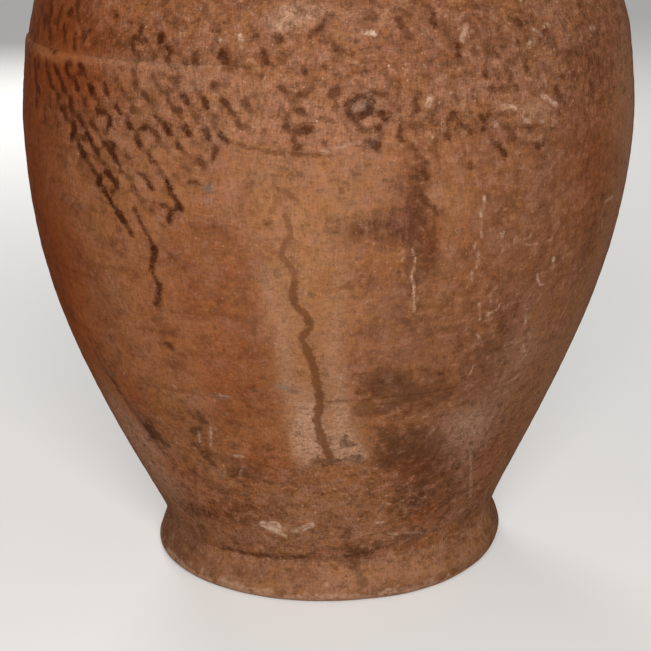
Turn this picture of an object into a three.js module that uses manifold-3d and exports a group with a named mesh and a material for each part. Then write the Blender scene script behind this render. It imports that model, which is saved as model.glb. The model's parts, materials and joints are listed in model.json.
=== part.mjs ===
// A terracotta water jug in millimetres, +Z up, standing at the origin on the middle of its foot.
// The jug is raised in lifts. Each lift stands on the one below in a keyed joint that is filled with slip.
import * as THREE from 'three';
import { mergeVertices } from 'three/addons/utils/BufferGeometryUtils.js';
import Module from 'manifold-3d';

// Foot and floor
const FOOT_RADIUS = 91.2;
const FOOT_HEIGHT = 22.5;
const FOOT_ROUND = 8;
const FOOT_TUCK = 11;
const FOOT_SWELL = 10;
const FOOT_WALL = 12.5;
const BASE_LAP = 2;
const BASE_TAPER = 8;
const BASE_HOLLOW = 3;

// Lower wall and belly
const CREASE_RADIUS = 86;
const WALL_LEAN = THREE.MathUtils.degToRad(20.5);
const LEAN_RUN = 45;
const BELLY_RADIUS = 152;
const BELLY_RISE = 209;
const BELLY_RUN = 93;
const SEAM_RISE = 98;
const WALL = 9;

// Ridge and shoulder
const RIDGE_RISE = 45.5;
const RIDGE_DRAW = 3.4;
const RIDGE_RUN = 15;
const RIDGE_STEP = 2.6;
const RIDGE_ROUND = 2.2;
const SHOULDER_RISE = 80;
const SHOULDER_RUN = 46;
const SHOULDER_LEAN = THREE.MathUtils.degToRad(3);
const SHOULDER_SLOPE = THREE.MathUtils.degToRad(38);
const ROOT_RADIUS = 72;

// Neck and rim
const THROAT_RADIUS = 56.5;
const THROAT_RISE = 28;
const THROAT_RUN = 13;
const NECK_RISE = 42;
const LIP_RADIUS = 66;
const LIP_FLARE = THREE.MathUtils.degToRad(24);
const NECK_WALL = 8.5;
const RIM_HEIGHT = 13;
const RIM_OVERHANG = 6;

// Handles
const HANDLE_DROP = 17;
const SEAT_DROP = 29;
const HANDLE_REACH = 62;
const HANDLE_LIFT = 24;
const HANDLE_BOW = 20;
const HANDLE_STAND = 60;
const HANDLE_SINK = 14;
const HANDLE_WIDTH = 30;
const HANDLE_THICKNESS = 16;
const ROOT_SPREAD = 14;
const THUMB_GROOVE = 2;

// Luted joints
const SLIP_GAP = 0.3;
const KEY_WIDTH = 3.6;
const KEY_DEPTH = 4;

// Facets
const SIDES = 40;
const ROLL_SPANS = 5;
const LOWER_SPANS = 6;
const WALL_SPANS = 7;
const BELLY_SPANS = 4;
const EDGE_SPANS = 3;
const SHOULDER_SPANS = 8;
const COLLAR_SPANS = 5;
const FLARE_SPANS = 4;
const BEAD_SPANS = 4;
const STRAP_STATIONS = 22;
const STRAP_POINTS = 14;

const wasm = await Module();
wasm.setup();

const profilePoint = (radius, height) => new THREE.Vector2(radius, height);
const leaning = (angle, run) => profilePoint(Math.sin(angle), Math.cos(angle)).multiplyScalar(run);

// Heights of the joints and of the widest and narrowest levels.
const bellyHeight = FOOT_HEIGHT + BELLY_RISE;
const seamHeight = FOOT_HEIGHT + SEAM_RISE;
const ridgeHeight = bellyHeight + RIDGE_RISE;
const rootHeight = ridgeHeight + SHOULDER_RISE;
const throatHeight = rootHeight + THROAT_RISE;
const lipHeight = throatHeight + NECK_RISE;

// The outer profile, one smooth curve after another from the crease to the lip.
const crease = profilePoint(CREASE_RADIUS, FOOT_HEIGHT);
const widest = profilePoint(BELLY_RADIUS, bellyHeight);
const ridge = profilePoint(BELLY_RADIUS - RIDGE_DRAW, ridgeHeight);
const shoulderFoot = profilePoint(ridge.x - RIDGE_STEP, ridgeHeight);
const root = profilePoint(ROOT_RADIUS, rootHeight);
const throat = profilePoint(THROAT_RADIUS, throatHeight);
const lip = profilePoint(LIP_RADIUS, lipHeight);
const slope = profilePoint(-Math.cos(SHOULDER_SLOPE), Math.sin(SHOULDER_SLOPE));

const wallCurve = new THREE.CubicBezierCurve(
  crease,
  crease.clone().add(leaning(WALL_LEAN, LEAN_RUN)),
  widest.clone().add(profilePoint(0, -BELLY_RUN)),
  widest,
);
const bellyCurve = new THREE.CubicBezierCurve(
  widest,
  widest.clone().add(profilePoint(0, RIDGE_RUN)),
  ridge.clone().sub(leaning(-SHOULDER_LEAN, RIDGE_RUN)),
  ridge,
);
const shoulderCurve = new THREE.CubicBezierCurve(
  shoulderFoot,
  shoulderFoot.clone().add(leaning(-SHOULDER_LEAN, SHOULDER_RUN)),
  root.clone().addScaledVector(slope, -SHOULDER_RUN),
  root,
);
const collarCurve = new THREE.CubicBezierCurve(
  root,
  root.clone().addScaledVector(slope, THROAT_RUN),
  throat.clone().add(profilePoint(0, -THROAT_RUN)),
  throat,
);
const flareCurve = new THREE.CubicBezierCurve(
  throat,
  throat.clone().add(profilePoint(0, THROAT_RUN)),
  lip.clone().sub(leaning(LIP_FLARE, THROAT_RUN)),
  lip,
);

// A place on the profile, with the directions up the wall and out of it.
function placeOn(curve, t) {
  const up = curve.getTangent(t);
  return { at: curve.getPoint(t), up, out: profilePoint(up.y, -up.x) };
}

// The point that lies so far into the wall and so far up it from a place.
function wallPoint(place, inward, upward = 0) {
  return place.at.clone().addScaledVector(place.out, -inward).addScaledVector(place.up, upward);
}

// Places spread evenly along a stretch of a curve, its two ends included.
function placesAlong(curve, from, to, spans) {
  return Array.from({ length: spans + 1 }, (_, i) => placeOn(curve, from + ((to - from) * i) / spans));
}

// Where a curve that only rises reaches a height.
function reaches(curve, height) {
  let low = 0;
  let high = 1;
  while (high - low > 1e-7) {
    const middle = (low + high) / 2;
    if (curve.getPoint(middle).y < height) low = middle;
    else high = middle;
  }
  return (low + high) / 2;
}

// The key on top of a lift, in the middle of the seat between an outer and an inner edge.
function keyOnTop(place, innerEdge, outerEdge = 0) {
  const middle = (innerEdge + outerEdge) / 2;
  return [
    wallPoint(place, 0),
    wallPoint(place, middle - KEY_WIDTH / 2),
    wallPoint(place, middle, KEY_DEPTH),
    wallPoint(place, middle + KEY_WIDTH / 2),
    wallPoint(place, innerEdge),
  ];
}

// The groove under a lift, from the inside of its foot to the outer edge, with room for slip round the key.
function grooveBelow(place, innerEdge, outerEdge = 0, footInside = innerEdge) {
  const middle = (innerEdge + outerEdge) / 2;
  const half = KEY_WIDTH / 2 + SLIP_GAP;
  return [
    wallPoint(place, footInside, SLIP_GAP),
    wallPoint(place, middle + half, SLIP_GAP),
    wallPoint(place, middle, KEY_DEPTH + 2 * SLIP_GAP),
    wallPoint(place, middle - half, SLIP_GAP),
    wallPoint(place, outerEdge, SLIP_GAP),
  ];
}

// A solid of revolution round Z. A profile that doesn't start on the axis is closed on itself.
function revolved(profile) {
  const outline = profile[0].x === 0 ? profile : [...profile, profile[0]];
  return new THREE.LatheGeometry(outline, SIDES).rotateX(Math.PI / 2);
}

// One lift of the wall: the groove below, the outside, the key on top, and the inside back down.
function lift(groove, places, thicknesses, key) {
  const outside = places.slice(1, -1).map((place) => wallPoint(place, 0));
  const inside = places.slice(1, -1).map((place, i) => wallPoint(place, thicknesses[i + 1]));
  return revolved([...groove, ...outside, ...key, ...inside.reverse()]);
}

const even = (places, thickness) => places.map(() => thickness);

// Foot: the base disc wedges into the ring from above, and the wall laps over its edge.
const baseRadius = CREASE_RADIUS - FOOT_WALL + BASE_LAP;
const ringSeat = FOOT_WALL - BASE_LAP - SLIP_GAP;
const creasePlace = { at: crease, up: profilePoint(0, 1), out: profilePoint(1, 0) };
const taperPerHeight = BASE_TAPER / (FOOT_HEIGHT - BASE_HOLLOW);

function footRing() {
  const roll = new THREE.Path();
  roll.moveTo(FOOT_RADIUS - FOOT_TUCK, 0);
  roll.quadraticCurveTo(FOOT_RADIUS, 0, FOOT_RADIUS, FOOT_ROUND);
  roll.quadraticCurveTo(FOOT_RADIUS, FOOT_SWELL, CREASE_RADIUS, FOOT_HEIGHT);
  const boreBottom = baseRadius + SLIP_GAP - taperPerHeight * FOOT_HEIGHT;
  const outside = roll.getPoints(ROLL_SPANS).slice(0, -1);
  return revolved([profilePoint(boreBottom, 0), ...outside, ...keyOnTop(creasePlace, ringSeat)]);
}

function baseDisc() {
  return revolved([
    profilePoint(0, BASE_HOLLOW),
    profilePoint(baseRadius - BASE_TAPER, BASE_HOLLOW),
    profilePoint(baseRadius, FOOT_HEIGHT),
    profilePoint(0, FOOT_HEIGHT),
  ]);
}

// Walls: the first lift thins from the foot to the seam, and the rest keep one thickness.
const seam = reaches(wallCurve, seamHeight);
const seamPlace = placeOn(wallCurve, seam);
const ridgePlace = placeOn(bellyCurve, 1);
const rootPlace = placeOn(shoulderCurve, 1);
const lipPlace = placeOn(flareCurve, 1);

function lowerWall() {
  const places = placesAlong(wallCurve, 0, seam, LOWER_SPANS);
  const thicknesses = places.map((_, i) => THREE.MathUtils.lerp(FOOT_WALL, WALL, i / LOWER_SPANS));
  const groove = grooveBelow(creasePlace, ringSeat, 0, FOOT_WALL);
  return lift(groove, places, thicknesses, keyOnTop(seamPlace, WALL));
}

// The belly ends in the ridge, whose outer edge is rounded by the thumb.
function bellyWall() {
  const places = [
    ...placesAlong(wallCurve, seam, 1, WALL_SPANS),
    ...placesAlong(bellyCurve, 0, 1, BELLY_SPANS).slice(1),
  ];
  const thumbed = new THREE.QuadraticBezierCurve(
    wallPoint(ridgePlace, 0, -RIDGE_ROUND),
    wallPoint(ridgePlace, 0),
    wallPoint(ridgePlace, RIDGE_ROUND),
  );
  const key = keyOnTop(ridgePlace, WALL, RIDGE_STEP).slice(1);
  const top = [...thumbed.getPoints(EDGE_SPANS), ...key];
  return lift(grooveBelow(seamPlace, WALL), places, even(places, WALL), top);
}

// The shoulder stands back from the ridge by a small step.
function shoulderWall() {
  const places = placesAlong(shoulderCurve, 0, 1, SHOULDER_SPANS);
  const groove = grooveBelow(ridgePlace, WALL, RIDGE_STEP);
  return lift(groove, places, even(places, WALL), keyOnTop(rootPlace, NECK_WALL));
}

function neck() {
  const places = [
    ...placesAlong(collarCurve, 0, 1, COLLAR_SPANS),
    ...placesAlong(flareCurve, 0, 1, FLARE_SPANS).slice(1),
  ];
  const groove = grooveBelow(rootPlace, NECK_WALL);
  return lift(groove, places, even(places, NECK_WALL), keyOnTop(lipPlace, NECK_WALL));
}

// The rim is a coil pressed over the lip: full outside, rounded on top, and flush with the neck inside.
function rimCoil() {
  const groove = grooveBelow(lipPlace, NECK_WALL);
  const under = wallPoint(lipPlace, -RIM_OVERHANG, SLIP_GAP);
  const outer = wallPoint(lipPlace, -RIM_OVERHANG, RIM_HEIGHT / 2);
  const outerCorner = wallPoint(lipPlace, -RIM_OVERHANG, RIM_HEIGHT);
  const crown = wallPoint(lipPlace, (NECK_WALL - RIM_OVERHANG) / 2, RIM_HEIGHT);
  const innerCorner = wallPoint(lipPlace, NECK_WALL, RIM_HEIGHT);
  const inner = wallPoint(lipPlace, NECK_WALL, RIM_HEIGHT / 2);
  const bead = [
    new THREE.QuadraticBezierCurve(groove.at(-1), under, outer),
    new THREE.QuadraticBezierCurve(outer, outerCorner, crown),
    new THREE.QuadraticBezierCurve(crown, innerCorner, inner),
  ];
  return revolved([...groove, ...bead.flatMap((curve) => curve.getPoints(BEAD_SPANS).slice(1))]);
}

// A closed geometry as a solid that can be cut, and back.
function solidOf(geometry) {
  geometry.deleteAttribute('normal');
  geometry.deleteAttribute('uv');
  const merged = mergeVertices(geometry);
  const vertProperties = merged.getAttribute('position').array;
  return new wasm.Manifold(new wasm.Mesh({ numProp: 3, vertProperties, triVerts: merged.index.array }));
}

function geometryOf(solid) {
  const mesh = solid.getMesh();
  return new THREE.BufferGeometry()
    .setAttribute('position', new THREE.BufferAttribute(mesh.vertProperties, 3))
    .setIndex(new THREE.BufferAttribute(mesh.triVerts, 1));
}

// The shoulder and neck as one plain solid, larger by the slip gap, which the handles are cut to fit.
function bodyForHandles() {
  const places = [
    ...placesAlong(shoulderCurve, 0, 1, SHOULDER_SPANS),
    ...placesAlong(collarCurve, 0, 1, COLLAR_SPANS).slice(1),
    ...placesAlong(flareCurve, 0, 1, FLARE_SPANS).slice(1),
  ];
  const outside = places.map((place) => wallPoint(place, -SLIP_GAP));
  const bottom = profilePoint(0, outside[0].y);
  const top = profilePoint(0, outside.at(-1).y);
  return solidOf(revolved([bottom, ...outside, top]));
}

// The line of the strap, in a plane through the jug's axis, from inside the neck to inside the shoulder.
function handleLine() {
  const grip = flareCurve.getPoint(reaches(flareCurve, lipHeight - HANDLE_DROP));
  const seat = shoulderCurve.getPoint(reaches(shoulderCurve, rootHeight - SEAT_DROP));
  const from = (point, outward, upward) => new THREE.Vector3(point.x + outward, 0, point.y + upward);
  return new THREE.CubicBezierCurve3(
    from(grip, -HANDLE_SINK, 0),
    from(grip, HANDLE_REACH, HANDLE_LIFT),
    from(seat, HANDLE_BOW, HANDLE_STAND),
    from(seat, 0, -HANDLE_SINK),
  );
}

// A pulled strap: oval, with a thumb groove down its outer face, thinnest in the middle, spread at its ends.
function strap(line) {
  const positions = [];
  const index = [];
  const side = new THREE.Vector3(0, 1, 0);
  for (let i = 0; i <= STRAP_STATIONS; i++) {
    const t = i / STRAP_STATIONS;
    const inwardFace = new THREE.Vector3().crossVectors(side, line.getTangentAt(t));
    const spread = ROOT_SPREAD * (2 * t - 1) ** 4;
    for (let j = 0; j < STRAP_POINTS; j++) {
      const turn = ((j + 0.5) / STRAP_POINTS) * Math.PI * 2;
      const across = ((HANDLE_WIDTH + spread) / 2) * Math.cos(turn);
      const groove = THUMB_GROOVE * Math.max(0, -Math.sin(turn)) ** 8;
      const depth = ((HANDLE_THICKNESS + spread / 3) / 2) * Math.sin(turn) + groove;
      const point = line.getPointAt(t).addScaledVector(side, across).addScaledVector(inwardFace, depth);
      positions.push(...point.toArray());
    }
  }
  const last = STRAP_STATIONS * STRAP_POINTS;
  for (let i = 0; i < last; i += STRAP_POINTS) {
    for (let j = 0; j < STRAP_POINTS; j++) {
      const a = i + j;
      const b = i + ((j + 1) % STRAP_POINTS);
      index.push(a, a + STRAP_POINTS, b, b, a + STRAP_POINTS, b + STRAP_POINTS);
    }
  }
  for (let j = 1; j < STRAP_POINTS - 1; j++) {
    index.push(0, j, j + 1, last, last + j + 1, last + j);
  }
  return new THREE.BufferGeometry()
    .setAttribute('position', new THREE.Float32BufferAttribute(positions, 3))
    .setIndex(index);
}

function piece(name, geometry, color, roughness) {
  const mesh = new THREE.Mesh(geometry, new THREE.MeshStandardMaterial({ color, roughness, metalness: 0 }));
  mesh.name = name;
  return mesh;
}

const jug = new THREE.Group();
jug.add(piece('base_disc', baseDisc(), 0x86573a, 0.95));
jug.add(piece('foot_ring', footRing(), 0x8c6044, 0.92));
jug.add(piece('lower_wall', lowerWall(), 0x91603f, 0.88));
jug.add(piece('belly_wall', bellyWall(), 0x96613f, 0.86));
jug.add(piece('shoulder_wall', shoulderWall(), 0x946244, 0.86));
jug.add(piece('neck', neck(), 0x946244, 0.86));
jug.add(piece('rim_coil', rimCoil(), 0x986848, 0.84));

const handle = geometryOf(solidOf(strap(handleLine())).subtract(bodyForHandles()));
const rightHandle = piece('handle_right', handle, 0x96613f, 0.84);
const leftHandle = piece('handle_left', handle.clone(), 0x96613f, 0.84);
leftHandle.rotation.z = Math.PI;
jug.add(rightHandle, leftHandle);

export default jug;
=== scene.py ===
# %% [markdown]
# # A terracotta water jug
# The jug is low-fired red clay, left unglazed so that water seeps through the wall and cools what is inside.
# A potter throws it in lifts, and lutes each lift to the one below with wet clay. That is why the frame holds
# a base disc, a foot ring, three walls, a neck, a rim and two handles, each as its own solid. This lesson turns
# each solid into the worn, hand-made piece, and leaves every size where the frame has it.

# %% Load the frame
import json
import math
import random
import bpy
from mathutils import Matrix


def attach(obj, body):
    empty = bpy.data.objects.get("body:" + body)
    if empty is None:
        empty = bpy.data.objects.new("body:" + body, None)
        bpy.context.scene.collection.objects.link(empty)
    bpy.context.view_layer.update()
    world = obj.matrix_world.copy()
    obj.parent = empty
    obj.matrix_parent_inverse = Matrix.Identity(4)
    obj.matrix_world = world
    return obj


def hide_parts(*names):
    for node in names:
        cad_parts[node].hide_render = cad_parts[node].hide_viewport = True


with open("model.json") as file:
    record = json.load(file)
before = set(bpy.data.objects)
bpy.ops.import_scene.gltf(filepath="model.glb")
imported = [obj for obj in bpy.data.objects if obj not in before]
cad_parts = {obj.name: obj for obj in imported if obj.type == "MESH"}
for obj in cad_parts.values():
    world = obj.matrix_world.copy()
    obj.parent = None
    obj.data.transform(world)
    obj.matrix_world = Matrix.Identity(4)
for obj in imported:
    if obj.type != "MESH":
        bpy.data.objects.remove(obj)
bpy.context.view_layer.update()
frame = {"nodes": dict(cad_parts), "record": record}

from types import SimpleNamespace

import bmesh
import bpy
import numpy as np
from mathutils import Matrix, Vector, geometry, kdtree, noise

MM = 0.001
print("the frame holds", ", ".join(sorted(frame["nodes"])))

# %% [markdown]
# ## The outline of a turned lift
# Every lift is turned on the wheel, so one cut through its wall tells its whole shape. The frame's mesh has a
# column of points in the plane y = 0. Merging the copy, deleting everything off that plane and walking along
# what is left gives the outline, so no size is typed twice.

# %% Read the outline from the frame
SAME_POINT = 0.01 * MM


def merged_copy(node):
    """A working copy of a node's mesh, with its doubled points merged."""
    bm = bmesh.new()
    bm.from_mesh(frame["nodes"][node].data)
    bmesh.ops.remove_doubles(bm, verts=bm.verts, dist=SAME_POINT)
    return bm


def outline_of(node):
    """The cut through a turned node on its +X side, as (radius, height) points that go up the outside."""
    bm = merged_copy(node)
    aside = [v for v in bm.verts if abs(v.co.y) > SAME_POINT or v.co.x < -SAME_POINT]
    bmesh.ops.delete(bm, geom=aside, context="VERTS")
    here = min(bm.verts, key=lambda v: (len(v.link_edges), v.co.z))
    walk = [here]
    while here:
        onward = [e.other_vert(here) for e in here.link_edges]
        here = next((v for v in onward if v not in walk), None)
        if here:
            walk.append(here)
    points = [Vector((v.co.x, v.co.z)) for v in walk]
    bm.free()
    area = sum(a.cross(b) for a, b in zip(points, points[1:] + points[:1]))
    return points if area > 0 else points[::-1]


TURNED = ["base_disc", "foot_ring", "lower_wall", "belly_wall", "shoulder_wall", "neck", "rim_coil"]
outlines = {node: outline_of(node) for node in TURNED}
print("points in each outline:", {node: len(points) for node, points in outlines.items()})

# %% [markdown]
# ## From facets to a thrown curve
# The solids are faceted, and a thrown wall isn't. The outline is cut at its sharp corners, and each stretch
# between two corners is drawn again as a smooth curve through the same points. The outside gets short steps,
# because the marks on it are stored on its points, and the inside gets long ones.

# %% Cut the outline at its corners and smooth each stretch
CORNER = math.radians(40)
FINE_STEP = 1.2 * MM
COARSE_STEP = 6 * MM
LONG_SHARE = 0.6


def stretches_of(points, closed=True):
    """The outline as a list of stretches, each from one sharp corner to the next."""
    count = len(points)
    turns = []
    for i in range(count):
        before = points[i] - points[i - 1]
        after = points[(i + 1) % count] - points[i]
        ends_here = not closed and i in (0, count - 1)
        turns.append(ends_here or abs(before.angle_signed(after)) > CORNER)
    corners = [i for i in range(count) if turns[i]]
    spans = list(zip(corners, corners[1:]))
    if closed:
        spans.append((corners[-1], corners[0] + count))
    return [[points[i % count] for i in range(a, b + 1)] for a, b in spans]


def length_of(points):
    return sum((b - a).length for a, b in zip(points, points[1:]))


def smoothed(points, step):
    """A smooth curve through the points of one stretch, in steps of about the length given."""
    ways = [(b - a).normalized() for a, b in zip(points, points[1:])]
    slopes = [(a + b).normalized() for a, b in zip(ways, ways[1:])]
    if slopes:
        slopes = [2 * ways[0].dot(slopes[0]) * ways[0] - slopes[0]] + slopes
        slopes.append(2 * ways[-1].dot(slopes[-1]) * ways[-1] - slopes[-1])
    else:
        slopes = ways * 2
    curve = [points[0]]
    for i, (a, b) in enumerate(zip(points, points[1:])):
        reach = (b - a).length / 3
        pieces = max(1, round((b - a).length / step))
        drawn = geometry.interpolate_bezier(a, a + slopes[i] * reach, b - slopes[i + 1] * reach, b, pieces + 1)
        curve += [p.to_2d() for p in drawn[1:]]
    return curve


def outside_of(stretches):
    """The stretch that is the piece's outer face: a long one, and the widest of those."""
    longest = max(map(length_of, stretches))
    long_ones = [s for s in stretches if length_of(s) > LONG_SHARE * longest]
    return max(long_ones, key=lambda s: sum(p.x for p in s) / len(s))


faces = {node: outside_of(stretches_of(outlines[node])) for node in TURNED[1:]}
print("outer faces, mm:", {node: round(length_of(s) / MM, 1) for node, s in faces.items()})

# %% [markdown]
# ## The wall as a place for marks
# Drips, dabs and stains are easiest to place the way a potter would point at them: so far round, so high up.
# One curve of the outer wall turns such a place into a point in space. Azimuth 0 faces the camera, and grows
# towards +X.

# %% Turn an azimuth and a height into a point on the wall
WALLS = ["foot_ring", "lower_wall", "belly_wall", "shoulder_wall"]
ridge_height = faces["shoulder_wall"][0].y
wall_line = [p for node in WALLS for p in smoothed(faces[node], FINE_STEP)
             if p.y < ridge_height or node == WALLS[-1]]
wall_line.sort(key=lambda p: p.y)
wall_heights = np.array([p.y for p in wall_line])
wall_radii = np.array([p.x for p in wall_line])
belly_radius = wall_radii.max()


def radius_at(height):
    return np.interp(height, wall_heights, wall_radii)


def on_wall(azimuth, height):
    """The point on the outer wall at an azimuth in degrees and a height in metres."""
    turn = math.radians(azimuth)
    radius = radius_at(height)
    return Vector((radius * math.sin(turn), -radius * math.cos(turn), height))


print("the belly is", round(2 * belly_radius / MM), "mm wide, and the ridge is at", round(ridge_height / MM), "mm")

# %% [markdown]
# ## What a hand leaves in the clay
# The jug isn't true. Its rings lean up towards +X, the wall has slow swellings, and the wiping hand left faint
# level lines. These are moves of the finished points, as in sculpting: one lean for every piece, so that the
# joints stay together, and small moves along the normal. On the foot and the walls only the outer faces get these.

# %% Points as rows of numbers
def rows_of(mesh, name):
    """The place or the normal of every point of a mesh, as rows of an array."""
    numbers = np.empty(len(mesh.vertices) * 3, np.float32)
    mesh.vertices.foreach_get(name, numbers)
    return numbers.reshape(-1, 3).astype(float)


def points_of(mesh):
    return rows_of(mesh, "co")


def normals_of(mesh):
    return rows_of(mesh, "normal")


def place_points(mesh, spots):
    mesh.vertices.foreach_set("co", spots.astype(np.float32).ravel())
    mesh.update()


def radii_of(spots):
    return np.hypot(spots[:, 0], spots[:, 1])


def cut_of(spots):
    """The points as the cut through the wall shows them: radius and height."""
    return np.stack([radii_of(spots), spots[:, 2]], 1)


foot_points = points_of(frame["nodes"]["foot_ring"].data)
print("the foot ring has", len(foot_points), "points and is", round(2 * radii_of(foot_points).max() / MM), "mm wide")

# %% Lean, swellings and throwing lines
LEAN = 0.031
LEAN_BY_HEIGHT = ([0, 9 * MM, 25 * MM], [0, 1.3, 1.0])
SHIFT_HEIGHTS = [0, 9, 30, 60, 100, 150, 190, 215, 262, 276, 300]
SHIFTS = [-0.3, 1.1, 1.0, 0, -0.5, -0.5, 0, 0.5, 0, -0.4, -1.0]
SWELL_HEIGHTS = [0, 30, 60, 190, 262, 276, 300]
SWELLS = [0, 0, 0.4, 0.5, 0.5, 0.1, 0]
SWELL_SIZE = 60 * MM
SWELL_HEIGHT = 0.5 * MM
LUMP_SIZE = 14 * MM
LUMP_HEIGHT = 0.16 * MM
LINE_SPACING = 3.2 * MM
LINE_HEIGHT = 0.13 * MM


def leaned(spots):
    """The points with the jug's lean, which leaves the standing face level, and its slow wander off the axis."""
    share = np.interp(spots[:, 2], *LEAN_BY_HEIGHT)
    moved = spots.copy()
    moved[:, 0] += np.interp(spots[:, 2] / MM, SHIFT_HEIGHTS, SHIFTS) * MM
    moved[:, 2] += LEAN * spots[:, 0] * share
    return moved


def hand_relief(spot):
    """How far the wall stands out at one point: slow swellings, small lumps and level lines."""
    swell = noise.noise(spot / SWELL_SIZE) * SWELL_HEIGHT
    lump = noise.noise(spot / LUMP_SIZE) * LUMP_HEIGHT
    level = Vector((spot.x / SWELL_SIZE, spot.y / SWELL_SIZE, spot.z / LINE_SPACING))
    wall = np.interp(spot.z / MM, SWELL_HEIGHTS, SWELLS) * MM
    return wall + swell + lump + noise.noise(level) * LINE_HEIGHT


def reliefs_of(spots):
    return np.array([hand_relief(Vector(spot)) for spot in spots])


def off_outside(spots, node):
    """How far each point is from its piece's outer face, seen in the cut through the wall."""
    cut = cut_of(spots)
    line = np.array([p[:] for p in smoothed(faces[node], COARSE_STEP)])
    nearest = np.full(len(cut), np.inf)
    for a, b in zip(line, line[1:]):
        along = np.clip((cut - a) @ (b - a) / ((b - a) @ (b - a)), 0, 1)
        nearest = np.minimum(nearest, np.linalg.norm(cut - a - along[:, None] * (b - a), axis=1))
    return nearest


print("relief at the belly's front:", round(hand_relief(on_wall(0, 0.23)) / MM, 3), "mm")

# %% [markdown]
# ## Spinning a lift
# The smoothed outline is a wire of a few hundred edges. A vertex bevel rounds the lips where two lifts meet. One
# spin makes a wedge of the lift and a second spin, which copies, sets such wedges side by side: that is much
# faster than one spin of many small steps. The wedges of the front, where the marks are densest, have the
# smallest steps. The foot of each upper lift is drawn down over the slip in the joint, because wet clay is
# pressed together until no slit is left.

# %% Spin a wire into wedges
FRONT_WEDGES = 7
BACK_WEDGES = 9
WEDGE = math.tau / (FRONT_WEDGES + BACK_WEDGES)


def spread_wedges(bm, wire, angle, steps, count):
    """Spins a wire into one wedge, and sets copies of that wedge beside it."""
    round_axis = {"cent": (0, 0, 0), "axis": (0, 0, 1), "dvec": (0, 0, 0)}
    before = set(bm.faces)
    bmesh.ops.spin(bm, geom=wire, angle=angle, steps=steps, **round_axis)
    faces_made = [face for face in bm.faces if face not in before]
    edges = {edge for face in faces_made for edge in face.edges}
    verts = {vert for face in faces_made for vert in face.verts}
    bmesh.ops.spin(bm, geom=[*verts, *edges, *faces_made], angle=angle * (count - 1), steps=count - 1,
                   use_duplicate=True, **round_axis)


print("a wedge of", round(math.degrees(WEDGE), 1), "degrees,", FRONT_WEDGES, "of them in front")

# %% Spin each lift
SLIP = 0.3 * MM
FINE_STEPS = (52, 22)
PLAIN_STEPS = (20, 20)
LIP_SEGMENTS = 3
# The rounding of each piece's lips in millimetres
LIPS = {"foot_ring": 0.8, "lower_wall": 0.5, "belly_wall": 0.5, "shoulder_wall": 0.6, "neck": 0.8,
        "rim_coil": 0.8}


def rings_of(bm):
    """Each face as a ring of point numbers from the lowest on. A spin starts its faces at any corner, and this
    makes every run give the same mesh."""
    bm.verts.index_update()
    rings = []
    for face in bm.faces:
        ring = [vert.index for vert in face.verts]
        start = ring.index(min(ring))
        rings.append(ring[start:] + ring[:start])
    return sorted(rings)


def spun(node, front_steps, back_steps):
    """A turned piece's mesh, spun from its smoothed outline in wedges of so many steps."""
    bm = bmesh.new()
    outer = faces.get(node)
    lips = []
    for stretch in stretches_of(outlines[node], closed=node != "base_disc"):
        curve = smoothed(stretch, FINE_STEP if stretch == outer else COARSE_STEP)
        verts = [bm.verts.new((p.x, 0, p.y)) for p in curve]
        for a, b in zip(verts, verts[1:]):
            bm.edges.new((a, b))
        if stretch == outer:
            lips = [v.co.copy() for v in (verts[0], verts[-1])]
    bmesh.ops.remove_doubles(bm, verts=bm.verts, dist=SAME_POINT)
    if outer:
        foot = min(bm.verts, key=lambda v: (v.co - lips[0]).length)
        rise = (outer[1] - outer[0]).normalized()
        if node != "foot_ring":
            foot.co -= Vector((rise.x, 0, rise.y)) * SLIP
        top = min(bm.verts, key=lambda v: (v.co - lips[1]).length)
        corners = [top] if node == "foot_ring" else [foot, top]
        bmesh.ops.bevel(bm, geom=corners, affect="VERTICES", offset=LIPS[node] * MM, segments=LIP_SEGMENTS,
                        profile=0.5, material=-1)
    edge_of_front = Matrix.Rotation(-WEDGE / 2, 3, "Z")
    bmesh.ops.rotate(bm, verts=bm.verts, cent=(0, 0, 0), matrix=edge_of_front)
    wire = bm.verts[:] + bm.edges[:]
    spread_wedges(bm, wire, -WEDGE, front_steps, FRONT_WEDGES)
    spread_wedges(bm, wire, WEDGE, back_steps, BACK_WEDGES)
    bmesh.ops.remove_doubles(bm, verts=bm.verts, dist=SAME_POINT)
    bmesh.ops.recalc_face_normals(bm, faces=bm.faces)
    mesh = bpy.data.meshes.new(node)
    mesh.from_pydata([vert.co for vert in bm.verts], [], rings_of(bm), shade_flat=False)
    bm.free()
    return mesh


turned = {node: spun(node, *(FINE_STEPS if node in WALLS[1:] else PLAIN_STEPS)) for node in TURNED}
print("faces spun:", {node: len(mesh.polygons) for node, mesh in turned.items()})

# %% [markdown]
# ## The net of dabs
# The shoulder and the upper belly carry a net of dark dabs, put on by hand in slanting rows, with pendants that
# hang below the ridge. Most of it has worn away. Each dab is a short stroke with a half width and a strength.
# The strokes on the worn front are placed one by one, as a decorator would put them on.

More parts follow.
